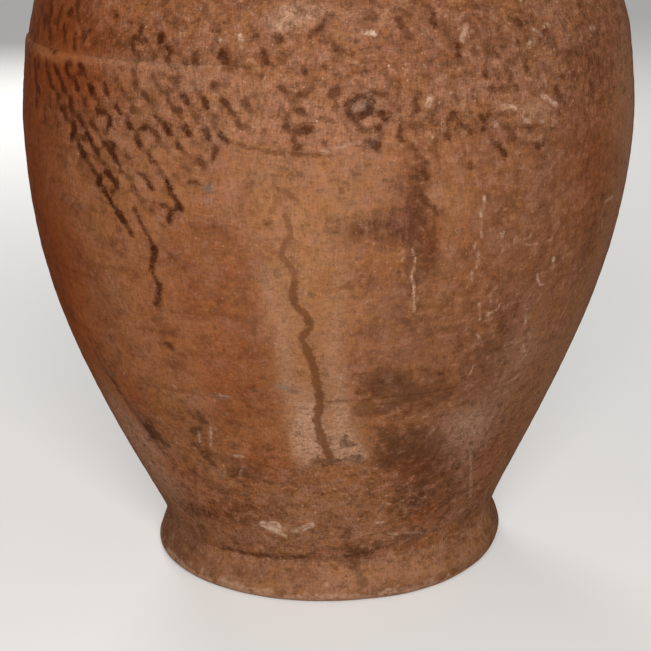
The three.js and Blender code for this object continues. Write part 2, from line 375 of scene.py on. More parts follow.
# %% Strokes of the pendant on the front left
# Each stroke is a half width in millimetres, a strength, and its places: azimuths in degrees, heights in
# millimetres.
pendant = [
    (1.6, 0.95, [(-60.1, 271), (-60.3, 267.5)]), (1.4, 0.85, [(-58.9, 266), (-58, 263), (-57, 260)]),
    (1.7, 0.95, [(-56, 268.5), (-55, 267)]), (1.6, 0.95, [(-54.4, 265.5), (-53.6, 262.5)]),
    (1.6, 0.9, [(-53.3, 261), (-52, 259)]), (0.9, 0.45, [(-55.6, 257.5), (-54, 255.5)]),
    (1.7, 0.75, [(-53.4, 252.5), (-51.9, 248)]), (1.5, 0.95, [(-49.2, 246), (-49, 243.2)]),
    (1.9, 1, [(-49.5, 242), (-49.8, 240)]), (1.2, 0.7, [(-48.8, 239), (-47.7, 238.3)]),
    (1.9, 1, [(-47.7, 236.5), (-46.7, 233)]), (1.1, 0.7, [(-46.8, 240), (-45.6, 239)]),
    (1.3, 0.8, [(-44.5, 229), (-43.7, 226)]), (0.9, 0.6, [(-44, 232.8), (-42, 231.5), (-40.3, 230.2)]),
    (2, 1, [(-42.3, 223.6), (-42.6, 221.6)]), (1.6, 1, [(-42.2, 220), (-41.4, 218.4)]),
    (1.1, 1, [(-41.1, 217.5), (-40.3, 214.5), (-39.5, 211.5)]), (1.6, 1, [(-38.6, 209.5), (-37.5, 205.5)]),
    (0.9, 0.91, [(-35.8, 200)]), (1.3, 0.9, [(-50.7, 272.6), (-52, 271.8), (-52.2, 269.5), (-51.5, 267.3)]),
    (1, 0.6, [(-51.3, 267), (-49.4, 267)]), (1.4, 0.9, [(-48, 271.8), (-46.6, 271.6)]),
    (1.1, 0.75, [(-46.9, 270), (-48.6, 268.2)]), (1.5, 0.9, [(-49, 265.3), (-48.4, 261.3)]),
    (0.8, 0.6, [(-46.4, 269), (-45.6, 266.5)]), (2, 1, [(-45.2, 265.3), (-44.2, 261.5)]),
    (1.4, 0.85, [(-50.4, 257), (-50.6, 253), (-49.7, 250.5)]),
    (1.2, 0.55, [(-46.5, 258.5), (-45.9, 255.5), (-46.4, 252)]), (1.6, 0.95, [(-48, 249.8), (-46.8, 246.5)]),
    (1.9, 1, [(-45.5, 243), (-44.5, 240.3)]), (1.5, 0.9, [(-43.8, 237.7), (-42.8, 235)]),
    (1.4, 0.95, [(-40.7, 226.6), (-39.3, 225), (-38.4, 223.4)]), (1.3, 1, [(-38.2, 222), (-38.3, 219.6)]),
    (0.9, 0.77, [(-38.6, 218.8), (-39.7, 218)]), (0.8, 0.5, [(-43.5, 260.3), (-42.6, 258), (-41.8, 255)]),
    (0.8, 0.45, [(-43.6, 268), (-41.7, 268.8)]), (1.4, 0.85, [(-41, 265.5), (-40.3, 261)]),
    (1.3, 0.44, [(-39, 270), (-38.4, 267.7)]), (1.3, 0.85, [(-42.8, 254), (-40.7, 253)]),
    (1.5, 1, [(-39.7, 251.5), (-39.5, 248.3)]), (1.4, 0.9, [(-40.1, 246.5), (-40.8, 244.6)]),
    (1.4, 0.7, [(-44.2, 248.3), (-43.2, 246)]), (1.4, 0.85, [(-40.9, 240.3), (-40, 239.4)]),
    (1.5, 0.94, [(-38.6, 239.3), (-39.2, 237)]), (1.4, 1, [(-38.6, 234.6), (-37.9, 233)]),
    (0.9, 0.88, [(-37.6, 231.8), (-37, 229.8)]), (1.6, 1, [(-36.9, 228)]),
    (1.1, 0.66, [(-36.1, 236), (-35, 235)]), (0.9, 0.66, [(-35.5, 226.2), (-34.6, 225.8)]),
    (1, 0.81, [(-34.8, 220.6), (-34.1, 220.3)]), (0.8, 0.51, [(-33.5, 218), (-33, 215.6), (-32.2, 216)]),
    (0.8, 0.81, [(-31.4, 212)]), (1.4, 0.88, [(-38.1, 256.6), (-37.3, 254.8)]),
    (1.1, 0.56, [(-36.9, 263.3), (-35, 260.2)]), (1.3, 0.51, [(-34.4, 273), (-34.1, 270.6)]),
    (1.4, 0.56, [(-34.3, 268), (-33.8, 265.7)]), (1.4, 0.76, [(-34.5, 258), (-34.6, 255.8)]),
    (0.9, 0.61, [(-34.2, 255.8), (-33.2, 256)]), (1, 0.76, [(-35.8, 253), (-35.6, 251)]),
    (1.6, 1, [(-35.5, 250), (-34.9, 248.2)]), (1.3, 0.91, [(-32.8, 240.7), (-33.6, 243), (-33.4, 245.6)]),
    (1.2, 0.91, [(-33, 247.2), (-31.4, 248.4)]), (0.9, 0.7, [(-31.1, 248.3), (-29.8, 246.8), (-29, 244.6)]),
    (0.8, 0.45, [(-29, 244.4), (-29.8, 241), (-31, 238.6)]), (1.4, 0.66, [(-32.3, 263.5), (-31.3, 260.7)]),
    (1.4, 0.51, [(-30.3, 271), (-29.6, 268.3)]), (1.3, 0.7, [(-28.8, 264.6), (-27.7, 263.4)]),
    (1.1, 0.66, [(-27.5, 262.4), (-27.4, 261)]), (1.1, 0.86, [(-29.7, 253.6), (-28.8, 252.4)]),
    (1.6, 1, [(-27.9, 250.6), (-27.1, 247)]), (1.1, 0.86, [(-31.1, 236.2), (-29.6, 233)]),
    (1.2, 0.86, [(-33.1, 228.5), (-32, 227.2)]), (1.5, 1, [(-31.4, 225), (-30.8, 222)]),
    (0.8, 0.45, [(-29.6, 229.8), (-28.8, 228)]), (0.9, 0.56, [(-26, 228.6), (-25.3, 227.4)]),
    (1.4, 0.51, [(-26.4, 270), (-26, 266.5)]), (1.4, 0.91, [(-24.5, 263), (-23.8, 260.6)]),
    (1.3, 0.81, [(-26, 257), (-25.1, 256)]), (1.5, 1, [(-24.1, 249.6), (-23.4, 247)]),
    (1.1, 0.96, [(-25.3, 241.4), (-24.8, 240.8)]), (1.3, 0.45, [(-22.6, 268), (-22, 266)]),
    (0.9, 0.51, [(-21.8, 265.2), (-21.1, 263.4)]), (1.4, 0.91, [(-20.9, 262.5), (-20.4, 259)]),
    (1.1, 0.51, [(-19.1, 256), (-18.6, 254.4)]), (0.8, 0.56, [(-22, 252.6)]),
    (0.9, 0.51, [(-19.2, 251.2), (-18.8, 250)]), (1.4, 0.96, [(-20.4, 249), (-19.8, 245.6)]),
    (1.4, 0.96, [(-17.6, 246.6), (-16.7, 244.6)]), (1.3, 0.81, [(-18.5, 240.6), (-19.2, 237)]),
    (1.3, 0.66, [(-21.4, 235.6), (-20.6, 233.8)]), (0.9, 0.56, [(-23.5, 232.4), (-23, 231)]),
    (1.2, 0.91, [(-23.6, 226.6), (-22, 226)]), (1.4, 1, [(-27.5, 226), (-27, 222)]),
    (1.2, 1, [(-26.7, 220), (-26, 217)]), (1.5, 1, [(-25.7, 215.6), (-25.3, 214)]),
    (1, 0.91, [(-26, 213.4), (-27, 212)]), (1.3, 1, [(-27.3, 211), (-27.6, 207)]),
    (1.1, 0.81, [(-29, 215), (-28, 214.6)]), (0.8, 0.66, [(-29.3, 206), (-28.8, 205.6)]),
    (1.7, 0.9, [(-67, 269), (-65.8, 264), (-65.4, 260)]),
    (1.2, 0.9, [(-64.8, 257), (-64.4, 253), (-64.6, 249.5)]), (1.2, 0.8, [(-72.1, 267), (-70.4, 261.5)]),
    (1.4, 0.9, [(-65.4, 267), (-64, 268.4)]), (1.5, 0.9, [(-64.4, 257.6), (-63.2, 256.2)]),
    (1.3, 0.8, [(-65.3, 252), (-65, 249.4)]), (1.2, 0.6, [(-64.6, 272.6), (-63.9, 270.8)]),
    (1, 0.9, [(-55, 243.6)]), (1.1, 0.8, [(-63.9, 233.4)]), (0.8, 0.7, [(-71, 263)]),
]
print("strokes in the pendant:", len(pendant))

# %% Worn lines that link the dabs
links = [
    (1, 0.9, [(-60.4, 272), (-60, 267.5), (-58, 263), (-57, 260), (-55.2, 256.8), (-53.4, 252.5), (-52, 248.5),
              (-49.6, 245), (-49.5, 240.5), (-47.4, 237), (-46.5, 233), (-44.8, 229.5), (-43.6, 226),
              (-42.4, 221.5), (-40.4, 215), (-39.3, 211), (-37.5, 206), (-35.8, 200)]),
    (1, 0.8, [(-56.6, 271), (-55.8, 268), (-54, 264), (-52.4, 259.6), (-50.6, 256), (-50.4, 252.6),
              (-48, 249.4), (-46.6, 246), (-45, 241.6), (-43.4, 237), (-42.4, 233.6), (-40.6, 230),
              (-40.6, 226.8), (-38.6, 223.6), (-38.3, 220), (-39.8, 217.4)]),
    (0.9, 0.7, [(-52.2, 271), (-51.3, 267), (-49.4, 266.6), (-48.4, 261.3), (-46.4, 258), (-46, 252.6),
                (-44.4, 248.6), (-43, 245.6), (-41.2, 240.6), (-39.4, 238), (-38.3, 233.6), (-37, 229),
                (-35.3, 226), (-34.6, 220.6)]),
    (0.9, 0.7, [(-47.4, 271.8), (-46, 267.6), (-44.6, 263), (-43.2, 259), (-42, 254.8), (-40.2, 252.4),
                (-39.5, 248.6), (-40.4, 245), (-39.2, 241), (-38.8, 238)]),
    (0.8, 0.6, [(-43.4, 268), (-41, 265.5), (-40.2, 260.6), (-38, 256), (-36, 251.6), (-34.8, 248),
                (-33.5, 243), (-32.4, 240), (-30.6, 235.4), (-29, 231), (-27.6, 226.6)]),
    (0.8, 0.5, [(-38.6, 268.4), (-36.6, 263), (-34.8, 258.4), (-33.6, 253), (-31.6, 248.6), (-29.6, 246.6),
                (-28.6, 243), (-26.8, 238.6), (-25, 234), (-23.4, 231.6)]),
    (0.8, 0.5, [(-34.4, 272), (-33.8, 266), (-31.6, 261.2), (-29.6, 254), (-27.6, 249.4), (-26.2, 244.6),
                (-25, 241), (-23, 237), (-21, 234.6)]),
    (0.8, 0.5, [(-30.2, 271), (-28.6, 264.6), (-27.4, 261.4), (-25.6, 256.6), (-24.2, 250.6), (-22.4, 244.6),
                (-20.6, 240)]),
    (0.8, 0.5, [(-26.4, 270), (-25, 264.6), (-23.8, 260.4), (-22, 252.6), (-20, 247.4), (-18.8, 241),
                (-19.2, 237)]),
    (0.8, 0.5, [(-22.6, 268), (-21, 262.6), (-19.4, 256.6), (-18.6, 250.4), (-17, 245.4)]),
    (0.8, 0.5, [(-19, 268.4), (-17.2, 261.8), (-15.4, 255.6), (-14.4, 251)]),
    (0.8, 0.5, [(-53.4, 252.5), (-50.6, 253), (-49.8, 250.4), (-46.8, 249), (-44.2, 248), (-42.6, 253.8)]),
    (0.8, 0.5, [(-49.4, 242), (-46.8, 240.2), (-45, 241), (-43.4, 244.6), (-43.4, 246.4)]),
    (0.8, 0.5, [(-46.8, 234), (-44, 232.8), (-42.2, 235)]), (0.8, 0.5, [(-29, 215), (-27, 213), (-25.6, 215)]),
    (1, 0.5, [(-7.4, 267), (-6.4, 262), (-4.4, 264)]),
    (1, 0.5, [(-6.8, 255), (-6.9, 250.6), (-5.4, 247.8), (-3.4, 249.6), (-3, 254.6)]),
    (1.2, 0.5, [(5.6, 249), (8, 250), (8.8, 254), (7, 256.4)]),
    (1, 0.4, [(9, 263), (10.6, 259.6), (11.4, 256.4), (9, 254)]),
    (1, 0.4, [(11.6, 248), (13.6, 250.4), (14.2, 256), (14.6, 261.6)]),
    (0.8, 0.5, [(26.4, 262.4), (29, 260.8), (32.6, 261.2)]),
    (0.8, 0.5, [(26.6, 244), (28.6, 237), (30.4, 232)]),
    (0.8, 0.4, [(32, 239.6), (34, 236), (37.4, 233.2), (38.8, 238)]),
]
print("worn lines:", len(links))

# %% Strokes of the band round the front
band = [
    (1.3, 0.69, [(-18.9, 269), (-19, 266.6)]), (1.3, 0.75, [(-17.2, 261.8), (-16.4, 259)]),
    (1.1, 0.69, [(-16.1, 257.6), (-15.2, 255)]), (0.8, 0.62, [(-15, 253.6), (-14.6, 251.6)]),
    (1.6, 0.75, [(-13.9, 260.8), (-13, 258.4)]), (1, 0.56, [(-13.3, 262.8), (-12.2, 264), (-10.7, 264)]),
    (1.4, 0.43, [(-12.8, 273), (-11, 272.2)]), (1.5, 0.65, [(-7.5, 267.8), (-6.9, 264.7)]),
    (1.7, 0.65, [(-2.8, 266.4), (-4.2, 263.6)]), (1.3, 0.69, [(-4.8, 262.2), (-5.8, 260.5)]),
    (1.5, 0.88, [(-5.2, 257.8), (-4, 256.6)]), (0.9, 0.75, [(-3.3, 256), (-2.9, 254.5)]),
    (1.2, 0.62, [(-6.8, 255.6), (-6.9, 251), (-6.2, 248.6)]), (1.4, 0.8, [(-5.6, 248.2), (-4.3, 248.3)]),
    (1.7, 0.84, [(-3.5, 249.2), (-3, 249.6)]), (1.3, 0.8, [(-5.5, 247), (-5.6, 244)]),
    (1.4, 0.84, [(-5.4, 242), (-4.8, 241.4)]), (1, 0.8, [(-0.8, 243.3)]),
    (1.1, 0.28, [(-10.5, 249), (-9.6, 246)]), (1.8, 0.8, [(1.2, 265.6), (0.5, 264)]),
    (1.7, 0.9, [(4.2, 262.2), (3.2, 260.6), (2.9, 258), (3.3, 255.6)]), (1.6, 0.9, [(5.4, 254.6), (6.6, 256)]),
    (2, 0.9, [(6.8, 257.6), (6.9, 260)]), (1.5, 0.9, [(5.8, 262), (4.6, 262.6)]),
    (1.7, 0.85, [(4, 253.6), (4.6, 251)]), (1.7, 0.85, [(5, 249.4), (5.6, 248.6)]),
    (1.2, 0.65, [(7.6, 263.5), (9.2, 263)]), (1, 0.49, [(10.2, 260), (10, 257.6)]),
    (1.7, 0.9, [(8.5, 255.2), (8.9, 253)]), (1.2, 0.86, [(8.4, 250.4), (7.6, 248.6)]),
    (1, 0.49, [(9.4, 249.6)]), (1.6, 0.8, [(6, 244.3), (6.9, 243.2), (7.8, 241.7)]),
    (1.1, 0.49, [(11.5, 265), (11.1, 262)]), (1.1, 0.59, [(10.6, 258), (11.5, 256.2)]),
    (1.3, 0.79, [(14.8, 262), (14.2, 259.6)]), (1.1, 0.79, [(14, 258), (14.3, 255.4)]),
    (1.4, 0.44, [(16.5, 269), (17, 264.6)]), (1.3, 0.54, [(17, 255), (16.7, 250.6)]),
    (1.2, 0.59, [(13, 250), (14, 249.4)]), (1.2, 0.69, [(11.5, 248), (11.2, 245.4), (12, 243)]),
    (0.8, 0.59, [(10, 241), (9.7, 239.5)]), (1.3, 0.62, [(13.3, 240), (14.2, 236)]),
    (1.1, 0.54, [(16.8, 238.5), (17.5, 236)]), (1.1, 0.62, [(15.6, 233.6), (16.2, 232)]),
    (1.4, 0.89, [(20.5, 252.5), (19.9, 250.4)]), (1.1, 0.83, [(19.6, 248.6), (19.3, 244.6)]),
    (1.1, 0.79, [(19.4, 243.4), (19.9, 241.6)]), (1.1, 0.69, [(21.2, 250.6), (21.9, 248.6)]),
    (1.3, 0.89, [(22.2, 247.6), (23.4, 243.8)]), (1.1, 0.62, [(21.1, 260.4), (21.5, 258.8)]),
    (1.3, 0.89, [(26.7, 269.4), (27, 267.7)]), (1, 0.49, [(28.8, 269), (29, 267.2)]),
    (1.3, 0.74, [(31, 269), (31.7, 266.7)]), (1.4, 0.79, [(34.7, 269.3), (35.3, 267.2)]),
    (1.1, 0.44, [(39.5, 268), (40, 266)]), (0.8, 0.79, [(26.5, 262), (27.5, 261.3), (28.5, 260.3)]),
    (0.8, 0.54, [(24.2, 262), (25.3, 261)]), (0.8, 0.62, [(30, 261), (30.3, 260)]),
    (0.8, 0.54, [(32.6, 262), (32.5, 260)]), (1.1, 0.54, [(27, 254), (28, 252.6)]),
    (1, 0.49, [(23, 254), (23.7, 252)]), (1.3, 0.94, [(25.5, 250.6), (26.2, 248.6)]),
    (1.1, 0.83, [(27.5, 251.4), (26.6, 249.4)]), (1.2, 0.89, [(26.1, 247.4), (26, 244.8)]),
    (1.2, 0.59, [(31, 243), (32, 239.4)]), (1.4, 0.89, [(27.7, 238.8), (28.7, 236.7)]),
    (1.3, 0.89, [(29.2, 235.3), (30.3, 232.2)]), (1.2, 0.89, [(36.6, 234.4), (37.4, 233.2), (38.2, 234.2)]),
    (1.1, 0.49, [(38.5, 236), (38.8, 239.4)]), (0.8, 0.62, [(35, 243), (35, 241.2)]),
    (1, 0.83, [(40.3, 241), (40.5, 240)]), (1.1, 0.54, [(40, 235), (41, 233)]),
    (1.1, 0.69, [(42, 261), (43.8, 262)]), (1.1, 0.69, [(42.2, 259.6), (41.6, 257), (42.5, 254), (43, 252)]),
    (1, 0.59, [(44.2, 257.4), (45.6, 256.6)]), (0.8, 0.74, [(23.3, 230.4), (23.6, 228.2)]),
    (1.1, 0.43, [(5, 269), (5.3, 267)]), (0.7, 0.49, [(9.6, 272.5)]),
]
print("strokes in the band:", len(band))

# %% Strokes on the shoulder
shoulder = [
    (1.9, 0.78, [(-62.3, 287.6), (-61, 284), (-60.4, 282)]), (0.8, 0.73, [(-61, 289), (-59.4, 288)]),
    (1.6, 0.84, [(-55, 286.6), (-54.4, 286)]), (1.4, 0.42, [(-53.8, 283), (-53.4, 280)]),
    (1.4, 0.99, [(-54.1, 293.6), (-53.1, 294.5)]), (1.3, 0.52, [(-57.6, 294.6), (-56.8, 292)]),
    (1, 0.94, [(-48.4, 285.8), (-47.9, 286.3)]), (0.9, 0.94, [(-47.2, 286.8), (-46.4, 288)]),
    (1.2, 0.52, [(-48.2, 283.4), (-47.8, 281)]), (1, 0.47, [(-51.4, 287), (-50.8, 284)]),
    (0.9, 0.94, [(-57.4, 276), (-56.4, 276.6)]), (1.4, 0.89, [(-33.8, 291), (-33.8, 287.6)]),
    (1.1, 0.89, [(-34.9, 286), (-32.8, 285.4)]), (0.8, 0.68, [(-36.7, 292.6), (-36.2, 292.3)]),
    (0.7, 0.89, [(-40.1, 295)]), (1.1, 0.78, [(-35.2, 283.4), (-35, 281.7)]),
    (1.2, 0.52, [(-31, 293), (-29.9, 290.4)]), (1.4, 0.99, [(-29.6, 287.8), (-29.6, 285.4)]),
    (1.5, 1, [(-28, 283.2), (-27.4, 282)]), (0.8, 0.73, [(-28.4, 284.2), (-26.2, 285.4)]),
    (1.4, 0.78, [(-27.8, 279), (-27.5, 277.2)]), (1.6, 0.57, [(-26.3, 291.4), (-24.8, 292)]),
    (1.4, 0.73, [(-24.9, 278.8), (-24.3, 276.7)]), (1.2, 0.47, [(-31.5, 280.4), (-30.8, 278.2)]),
    (1.3, 0.78, [(-22.5, 280.4), (-22, 276.4)]), (1.8, 0.94, [(-17.8, 281), (-17, 279.4)]),
    (0.8, 0.62, [(-19.9, 277), (-19, 276.8)]), (1.1, 0.78, [(-19, 290.5), (-18.4, 290.8)]),
    (1.1, 0.68, [(-12.5, 291), (-11.7, 288.6)]), (1.6, 0.83, [(-8.6, 288), (-7.7, 286.9)]),
    (1.4, 0.83, [(-10.6, 282.2), (-10.2, 279.4)]), (1.4, 0.53, [(-6, 288.8), (-5.1, 286.4)]),
    (1.2, 0.53, [(-7.5, 281), (-7.2, 278.2)]), (1.4, 0.94, [(-4.2, 276.8), (-3.7, 273.8)]),
    (0.8, 0.56, [(-5.6, 275)]), (1.1, 0.78, [(-2.9, 288.2), (-1.6, 290.6)]),
    (1.4, 0.78, [(-1, 291.8), (-0.2, 294.4)]), (1.3, 0.71, [(0, 296), (0.6, 295.6)]),
    (1.4, 0.78, [(1.3, 284), (2, 282.2)]), (0.8, 0.78, [(3.2, 281), (4, 281.4)]),
    (1, 0.53, [(0.3, 287.4), (0.9, 285.8)]), (1.1, 0.83, [(5.6, 277), (6.3, 277.4)]), (1, 0.83, [(6.1, 273)]),
    (0.9, 0.68, [(8.8, 278.4)]), (0.8, 0.68, [(-0.5, 275)]), (2.1, 0.62, [(7.4, 296.4), (8.1, 294.6)]),
    (1.7, 0.83, [(12.3, 293.6), (12.6, 291.2)]), (1.2, 0.68, [(13.4, 287), (14, 286)]),
    (1.3, 0.88, [(18.4, 294.4), (18.2, 291.6), (18.6, 290.2)]), (1.4, 0.94, [(22.2, 281), (21.9, 278.2)]),
    (1.2, 0.56, [(20, 290), (20.4, 286.6)]), (1.4, 0.68, [(25, 279.4), (25, 277.2)]),
    (1.3, 0.62, [(25.9, 287.6), (26.1, 284.6)]), (1.4, 0.46, [(27.4, 280), (27.6, 278)]),
    (0.9, 0.88, [(29.2, 277), (29.5, 274.8)]), (1.5, 0.78, [(34.5, 288), (35.3, 287)]),
    (0.9, 0.88, [(33.8, 281), (33.9, 280.2)]), (0.9, 0.78, [(39.2, 281), (40, 282.5), (41, 283.4)]),
    (1.1, 0.68, [(37.7, 277)]), (1.3, 0.95, [(-60.4, 282), (-59, 276.6)]),
    (1.4, 0.95, [(-55.4, 288.2), (-54.4, 285), (-53.7, 281.2)]), (1.3, 0.9, [(-50.9, 285.2), (-50.5, 279.8)]),
    (1, 0.85, [(-46.8, 286.8), (-48, 283.2), (-47.6, 280.2)]), (0.8, 0.5, [(-46.3, 290), (-44.6, 292)]),
    (1.4, 0.9, [(-63.1, 297.2), (-61.8, 291.2)]), (1.5, 0.9, [(-69.3, 294), (-64.6, 287.5)]),
    (1.3, 0.85, [(-57.4, 295.8), (-58.1, 287.8)]), (1.2, 0.75, [(-52.1, 299.2), (-50.5, 291.2)]),
]
print("strokes on the shoulder:", len(shoulder))

# %% Drips below the net, and painted shade in the foot crease
drips_and_painted_crease_shade = [
    (0.9, 1, [(-34.7, 211), (-33.5, 205), (-32.3, 200.5), (-31.4, 196)]),
    (1.6, 1, [(-31.4, 196), (-31.1, 192), (-32, 187), (-32.2, 184)]), (0.8, 0.9, [(-32.2, 184), (-31.4, 178)]),
    (1.5, 0.95, [(-31, 177), (-31.4, 171), (-32, 167)]), (1.3, 0.8, [(-31.8, 146), (-31, 144.5)]),
    (1, 0.8, [(15.2, 230), (15.8, 226)]), (1, 0.8, [(15.2, 219), (16, 215), (18, 210)]),
    (1, 0.6, [(-13.3, 225), (-12.5, 227)]), (0.8, 0.6, [(-8, 224), (-7, 223)]),
    (0.8, 0.6, [(-6.2, 221.5), (-5.2, 219)]), (0.8, 0.6, [(-10.4, 209.5), (-9.4, 209.5)]),
    (0.4, 0.7, [(6, 125), (9, 125.6)]), (0.4, 0.6, [(9, 123.4), (12, 123)]),
    (0.5, 0.7, [(12.4, 161), (14.6, 160.6)]), (1, 0.7, [(10, 131), (11, 129.5)]),
    # The strokes along 24 to 29 mm from -38 to 18 degrees are painted shade in the crease where the foot ring meets
    # the lower wall.
    (1.2, 0.7, [(22, 131), (22.8, 130)]), (0.8, 0.85, [(-38, 24.6), (-26, 24), (-10, 24.6), (6, 25)]),
    (0.6, 0.6, [(6, 25), (12, 26.5), (18, 29)]), (1.6, 0.5, [(-57, 128), (-53, 113)]),
    (2.2, 0.6, [(-51.5, 107), (-48, 93)]),
]
print("strokes in drips:", len(drips_and_painted_crease_shade))

# %% [markdown]
# ## The rest of the net
# The sides and the back aren't seen, so a rule carries the net round: cells like flattened hexagons, a leaning
# dab on each upright edge, thin links between, and wear that takes whole patches away. On the front it only
# fills gaps, faintly. A seeded random generator makes it the same each time.

# %% How much of the net is left
NET_LOWEST = 196 * MM
BAND_LOWEST = 242 * MM
SEEN_PENDANT = -37
PENDANT_TURNS = [SEEN_PENDANT, SEEN_PENDANT - 72, SEEN_PENDANT - 144, SEEN_PENDANT - 216]
PENDANT_HALF = 23
FRONT_EDGES = (-72, 44)
RUBBED = (44, 86)
GAP = 6.5 * MM
WEAR_SIZE = 45 * MM
WEAR = 0.5
PENDANT_WEAR = 0.4
# The strength before wear on the seen front, where it only fills gaps, and elsewhere
SHOULDER_NET = (0.4, 0.62)
BAND_NET = (0.3, 0.5)
PENDANT_NET = (0.3, 0.75)
placed = pendant + band + shoulder + drips_and_painted_crease_shade
placed_spots = kdtree.KDTree(sum(len(places) for _, _, places in placed))
for azimuth, height in (place for _, _, places in placed for place in places):
    placed_spots.insert(on_wall(azimuth, height * MM), 0)
placed_spots.balance()


def turn_between(a, b):
    """The signed turn in degrees from azimuth b to azimuth a, the short way round."""
    return (a - b + 180) % 360 - 180


def net_strength(azimuth, height):
    """How strongly the net is still there, from 0 for gone to 1 for fresh."""
    worn = noise.noise(on_wall(azimuth, height) / WEAR_SIZE)
    seen = FRONT_EDGES[0] < azimuth < FRONT_EDGES[1]
    crowded = seen and placed_spots.find(on_wall(azimuth, height))[2] < GAP
    if crowded or RUBBED[0] < azimuth < RUBBED[1]:
        return 0
    if height > BAND_LOWEST:
        front, elsewhere = SHOULDER_NET if height > ridge_height else BAND_NET
        return (front if seen else elsewhere) + WEAR * worn
    share = (height - NET_LOWEST) / (ridge_height - NET_LOWEST)
    for turn in PENDANT_TURNS:
        if abs(turn_between(azimuth, turn)) < PENDANT_HALF * share + 1:
            front, elsewhere = PENDANT_NET
            return (front if turn == SEEN_PENDANT else elsewhere) + PENDANT_WEAR * worn
    return 0


print("the net on the back of the shoulder:", round(net_strength(180, ridge_height + GAP), 2))

# %% Strokes of the net all round
NET_ROUND = 84
NET_CELL = 360 / NET_ROUND
NET_ROW = 7.2 * MM
NET_HIGHEST = 345 * MM
UNTRUE = 0.3
LINK_DROPS = (4.6 * MM, 2.4 * MM, 0)
LINK_TURN = 1.8
DAB_SLANT = 0.4
DAB_RISE = 1.7
GONE = 0.05
FAINT = 0.25
rng = random.Random(7)
path_length = np.concatenate([[0], np.cumsum(np.hypot(np.diff(wall_radii), np.diff(wall_heights)))])
row_paths = np.arange(np.interp(NET_LOWEST, wall_heights, path_length),
                      np.interp(NET_HIGHEST, wall_heights, path_length), NET_ROW)
net = []
for row, path in enumerate(row_paths):
    heights = np.interp([path - drop for drop in LINK_DROPS], path_length, wall_heights)
    for column in range(NET_ROUND):
        middle_turn = turn_between((column + 0.5 * (row % 2)) * NET_CELL + rng.gauss(0, UNTRUE), 0)
        force = net_strength(middle_turn, heights[2])
        edge = middle_turn + NET_CELL / 2
        kept = rng.random()
        if force > GONE and kept < 0.3 + force:
            middle = heights[2] / MM
            places = [(edge - DAB_SLANT, middle + DAB_RISE), (edge + DAB_SLANT, middle - DAB_RISE)]
            net.append((1.1 + 0.6 * rng.random(), force * (0.6 + 0.5 * rng.random()), places))
        for side in (-1, 1):
            faint = rng.random()
            if force > FAINT and faint < 0.5 * force:
                places = [(middle_turn + side * LINK_TURN, heights[1] / MM), (middle_turn, heights[0] / MM)]
                links.append((0.9, 0.9 * force, places))
print("strokes in the rest of the net:", len(net), "and worn lines in all:", len(links))

# %% [markdown]
# ## Runs, lime and cracks
# Liquid ran down the front and dried as a brown run with a pale edge, and other wet stains dried in broad
# patches. Hard water left lime in streaks and flakes, and the slip cracked in thin lines. They are strokes too,
# in three further layers.

# %% Strokes of the runs and the stains
runs = [
    (1.4, 0.7, [(-7.2, 213), (-6.7, 209), (-6.3, 205), (-7.6, 198), (-7.8, 194), (-6.1, 188.5), (-5.5, 183)]),
    (1.8, 0.95, [(-5.5, 183), (-6.1, 177.5), (-5.8, 171), (-3.7, 165.5), (-3, 160), (-4.6, 154.5),
                 (-3.7, 148)]),
    (2.2, 1, [(-3.7, 148), (-2.4, 138), (-1.9, 129), (-1.4, 120.5), (-2.2, 111)]),
    (2.1, 1, [(-2.2, 111), (-1.4, 101.5), (-0.5, 95), (0.6, 89)]),
    (1, 0.5, [(-9, 230), (-8.2, 222), (-9.4, 214)]),
    (0.8, 0.9, [(-16, 244), (-13, 242), (-9.5, 240.2), (-6, 239.3), (-1.5, 238.4)]),
    (0.8, 0.8, [(30, 243.8), (34, 243.5), (36, 242.5), (38.5, 243.5)]),
    (0.8, 0.8, [(0, 121), (14, 121.3), (27, 121)]), (0.8, 0.9, [(-17.5, 275), (-15, 275.6), (-12.5, 275.3)]),
    (0.7, 0.6, [(9.5, 270), (12, 268.5)]), (0.8, 0.5, [(-9, 255.6), (-7.5, 256)]),
]
stains = [
    (1.6, 0.45, [(17.4, 200), (18, 189)]), (2, 0.4, [(13.4, 194), (14, 184)]),
    (1.6, 0.3, [(-32, 165), (-32.4, 150), (-31.8, 135)]), (1.4, 0.3, [(16, 178), (16, 150)]),
    (6, 0.5, [(13.2, 101), (13.6, 92), (14.2, 82)]), (7, 0.45, [(19.6, 98), (19.8, 88), (20, 78)]),
    (5, 0.35, [(25, 94), (27, 80), (26, 68)]), (4.4, 0.4, [(7, 131.6), (11, 132.6), (15, 131)]),
    (3.6, 0.45, [(10, 124), (16, 122.6), (23, 124)]),
    (4, 0.4, [(7.6, 116.6), (12, 117), (19, 118.4), (25, 119)]),
    (2.2, 0.8, [(-45.4, 99), (-44.6, 93), (-43.8, 86.5)]), (1.2, 0.7, [(-53.6, 117), (-52, 110)]),
    (1.4, 0.7, [(-28.6, 109), (-27.3, 105.6)]), (1.6, 0.7, [(-30.9, 98.8), (-29.8, 101.4)]),
    (1, 0.8, [(-32.4, 90), (-31.6, 88), (-29.7, 87.5), (-26.7, 89.2)]),
    (1.7, 0.8, [(-30.7, 83.5), (-29.3, 81.5)]), (1.6, 0.5, [(-17.9, 77), (-16.4, 73.5)]),
    (2, 0.6, [(-2.6, 87), (1.6, 86.4), (6.4, 87.4)]), (1.6, 0.6, [(3.4, 96.6), (5.4, 96)]),
    (2.4, 0.35, [(-38, 70), (-30, 66), (-22, 63)]), (3, 0.45, [(-36, 50), (-32, 49), (-27, 48)]),
    (2.6, 0.45, [(7, 28), (8.2, 22), (9.9, 15), (9.4, 11)]),
    (1.6, 0.5, [(7, 27), (12, 29.4), (17, 32), (24, 32.4), (32, 32)]),
]
print("runs on the front:", len(runs), "and stains:", len(stains))

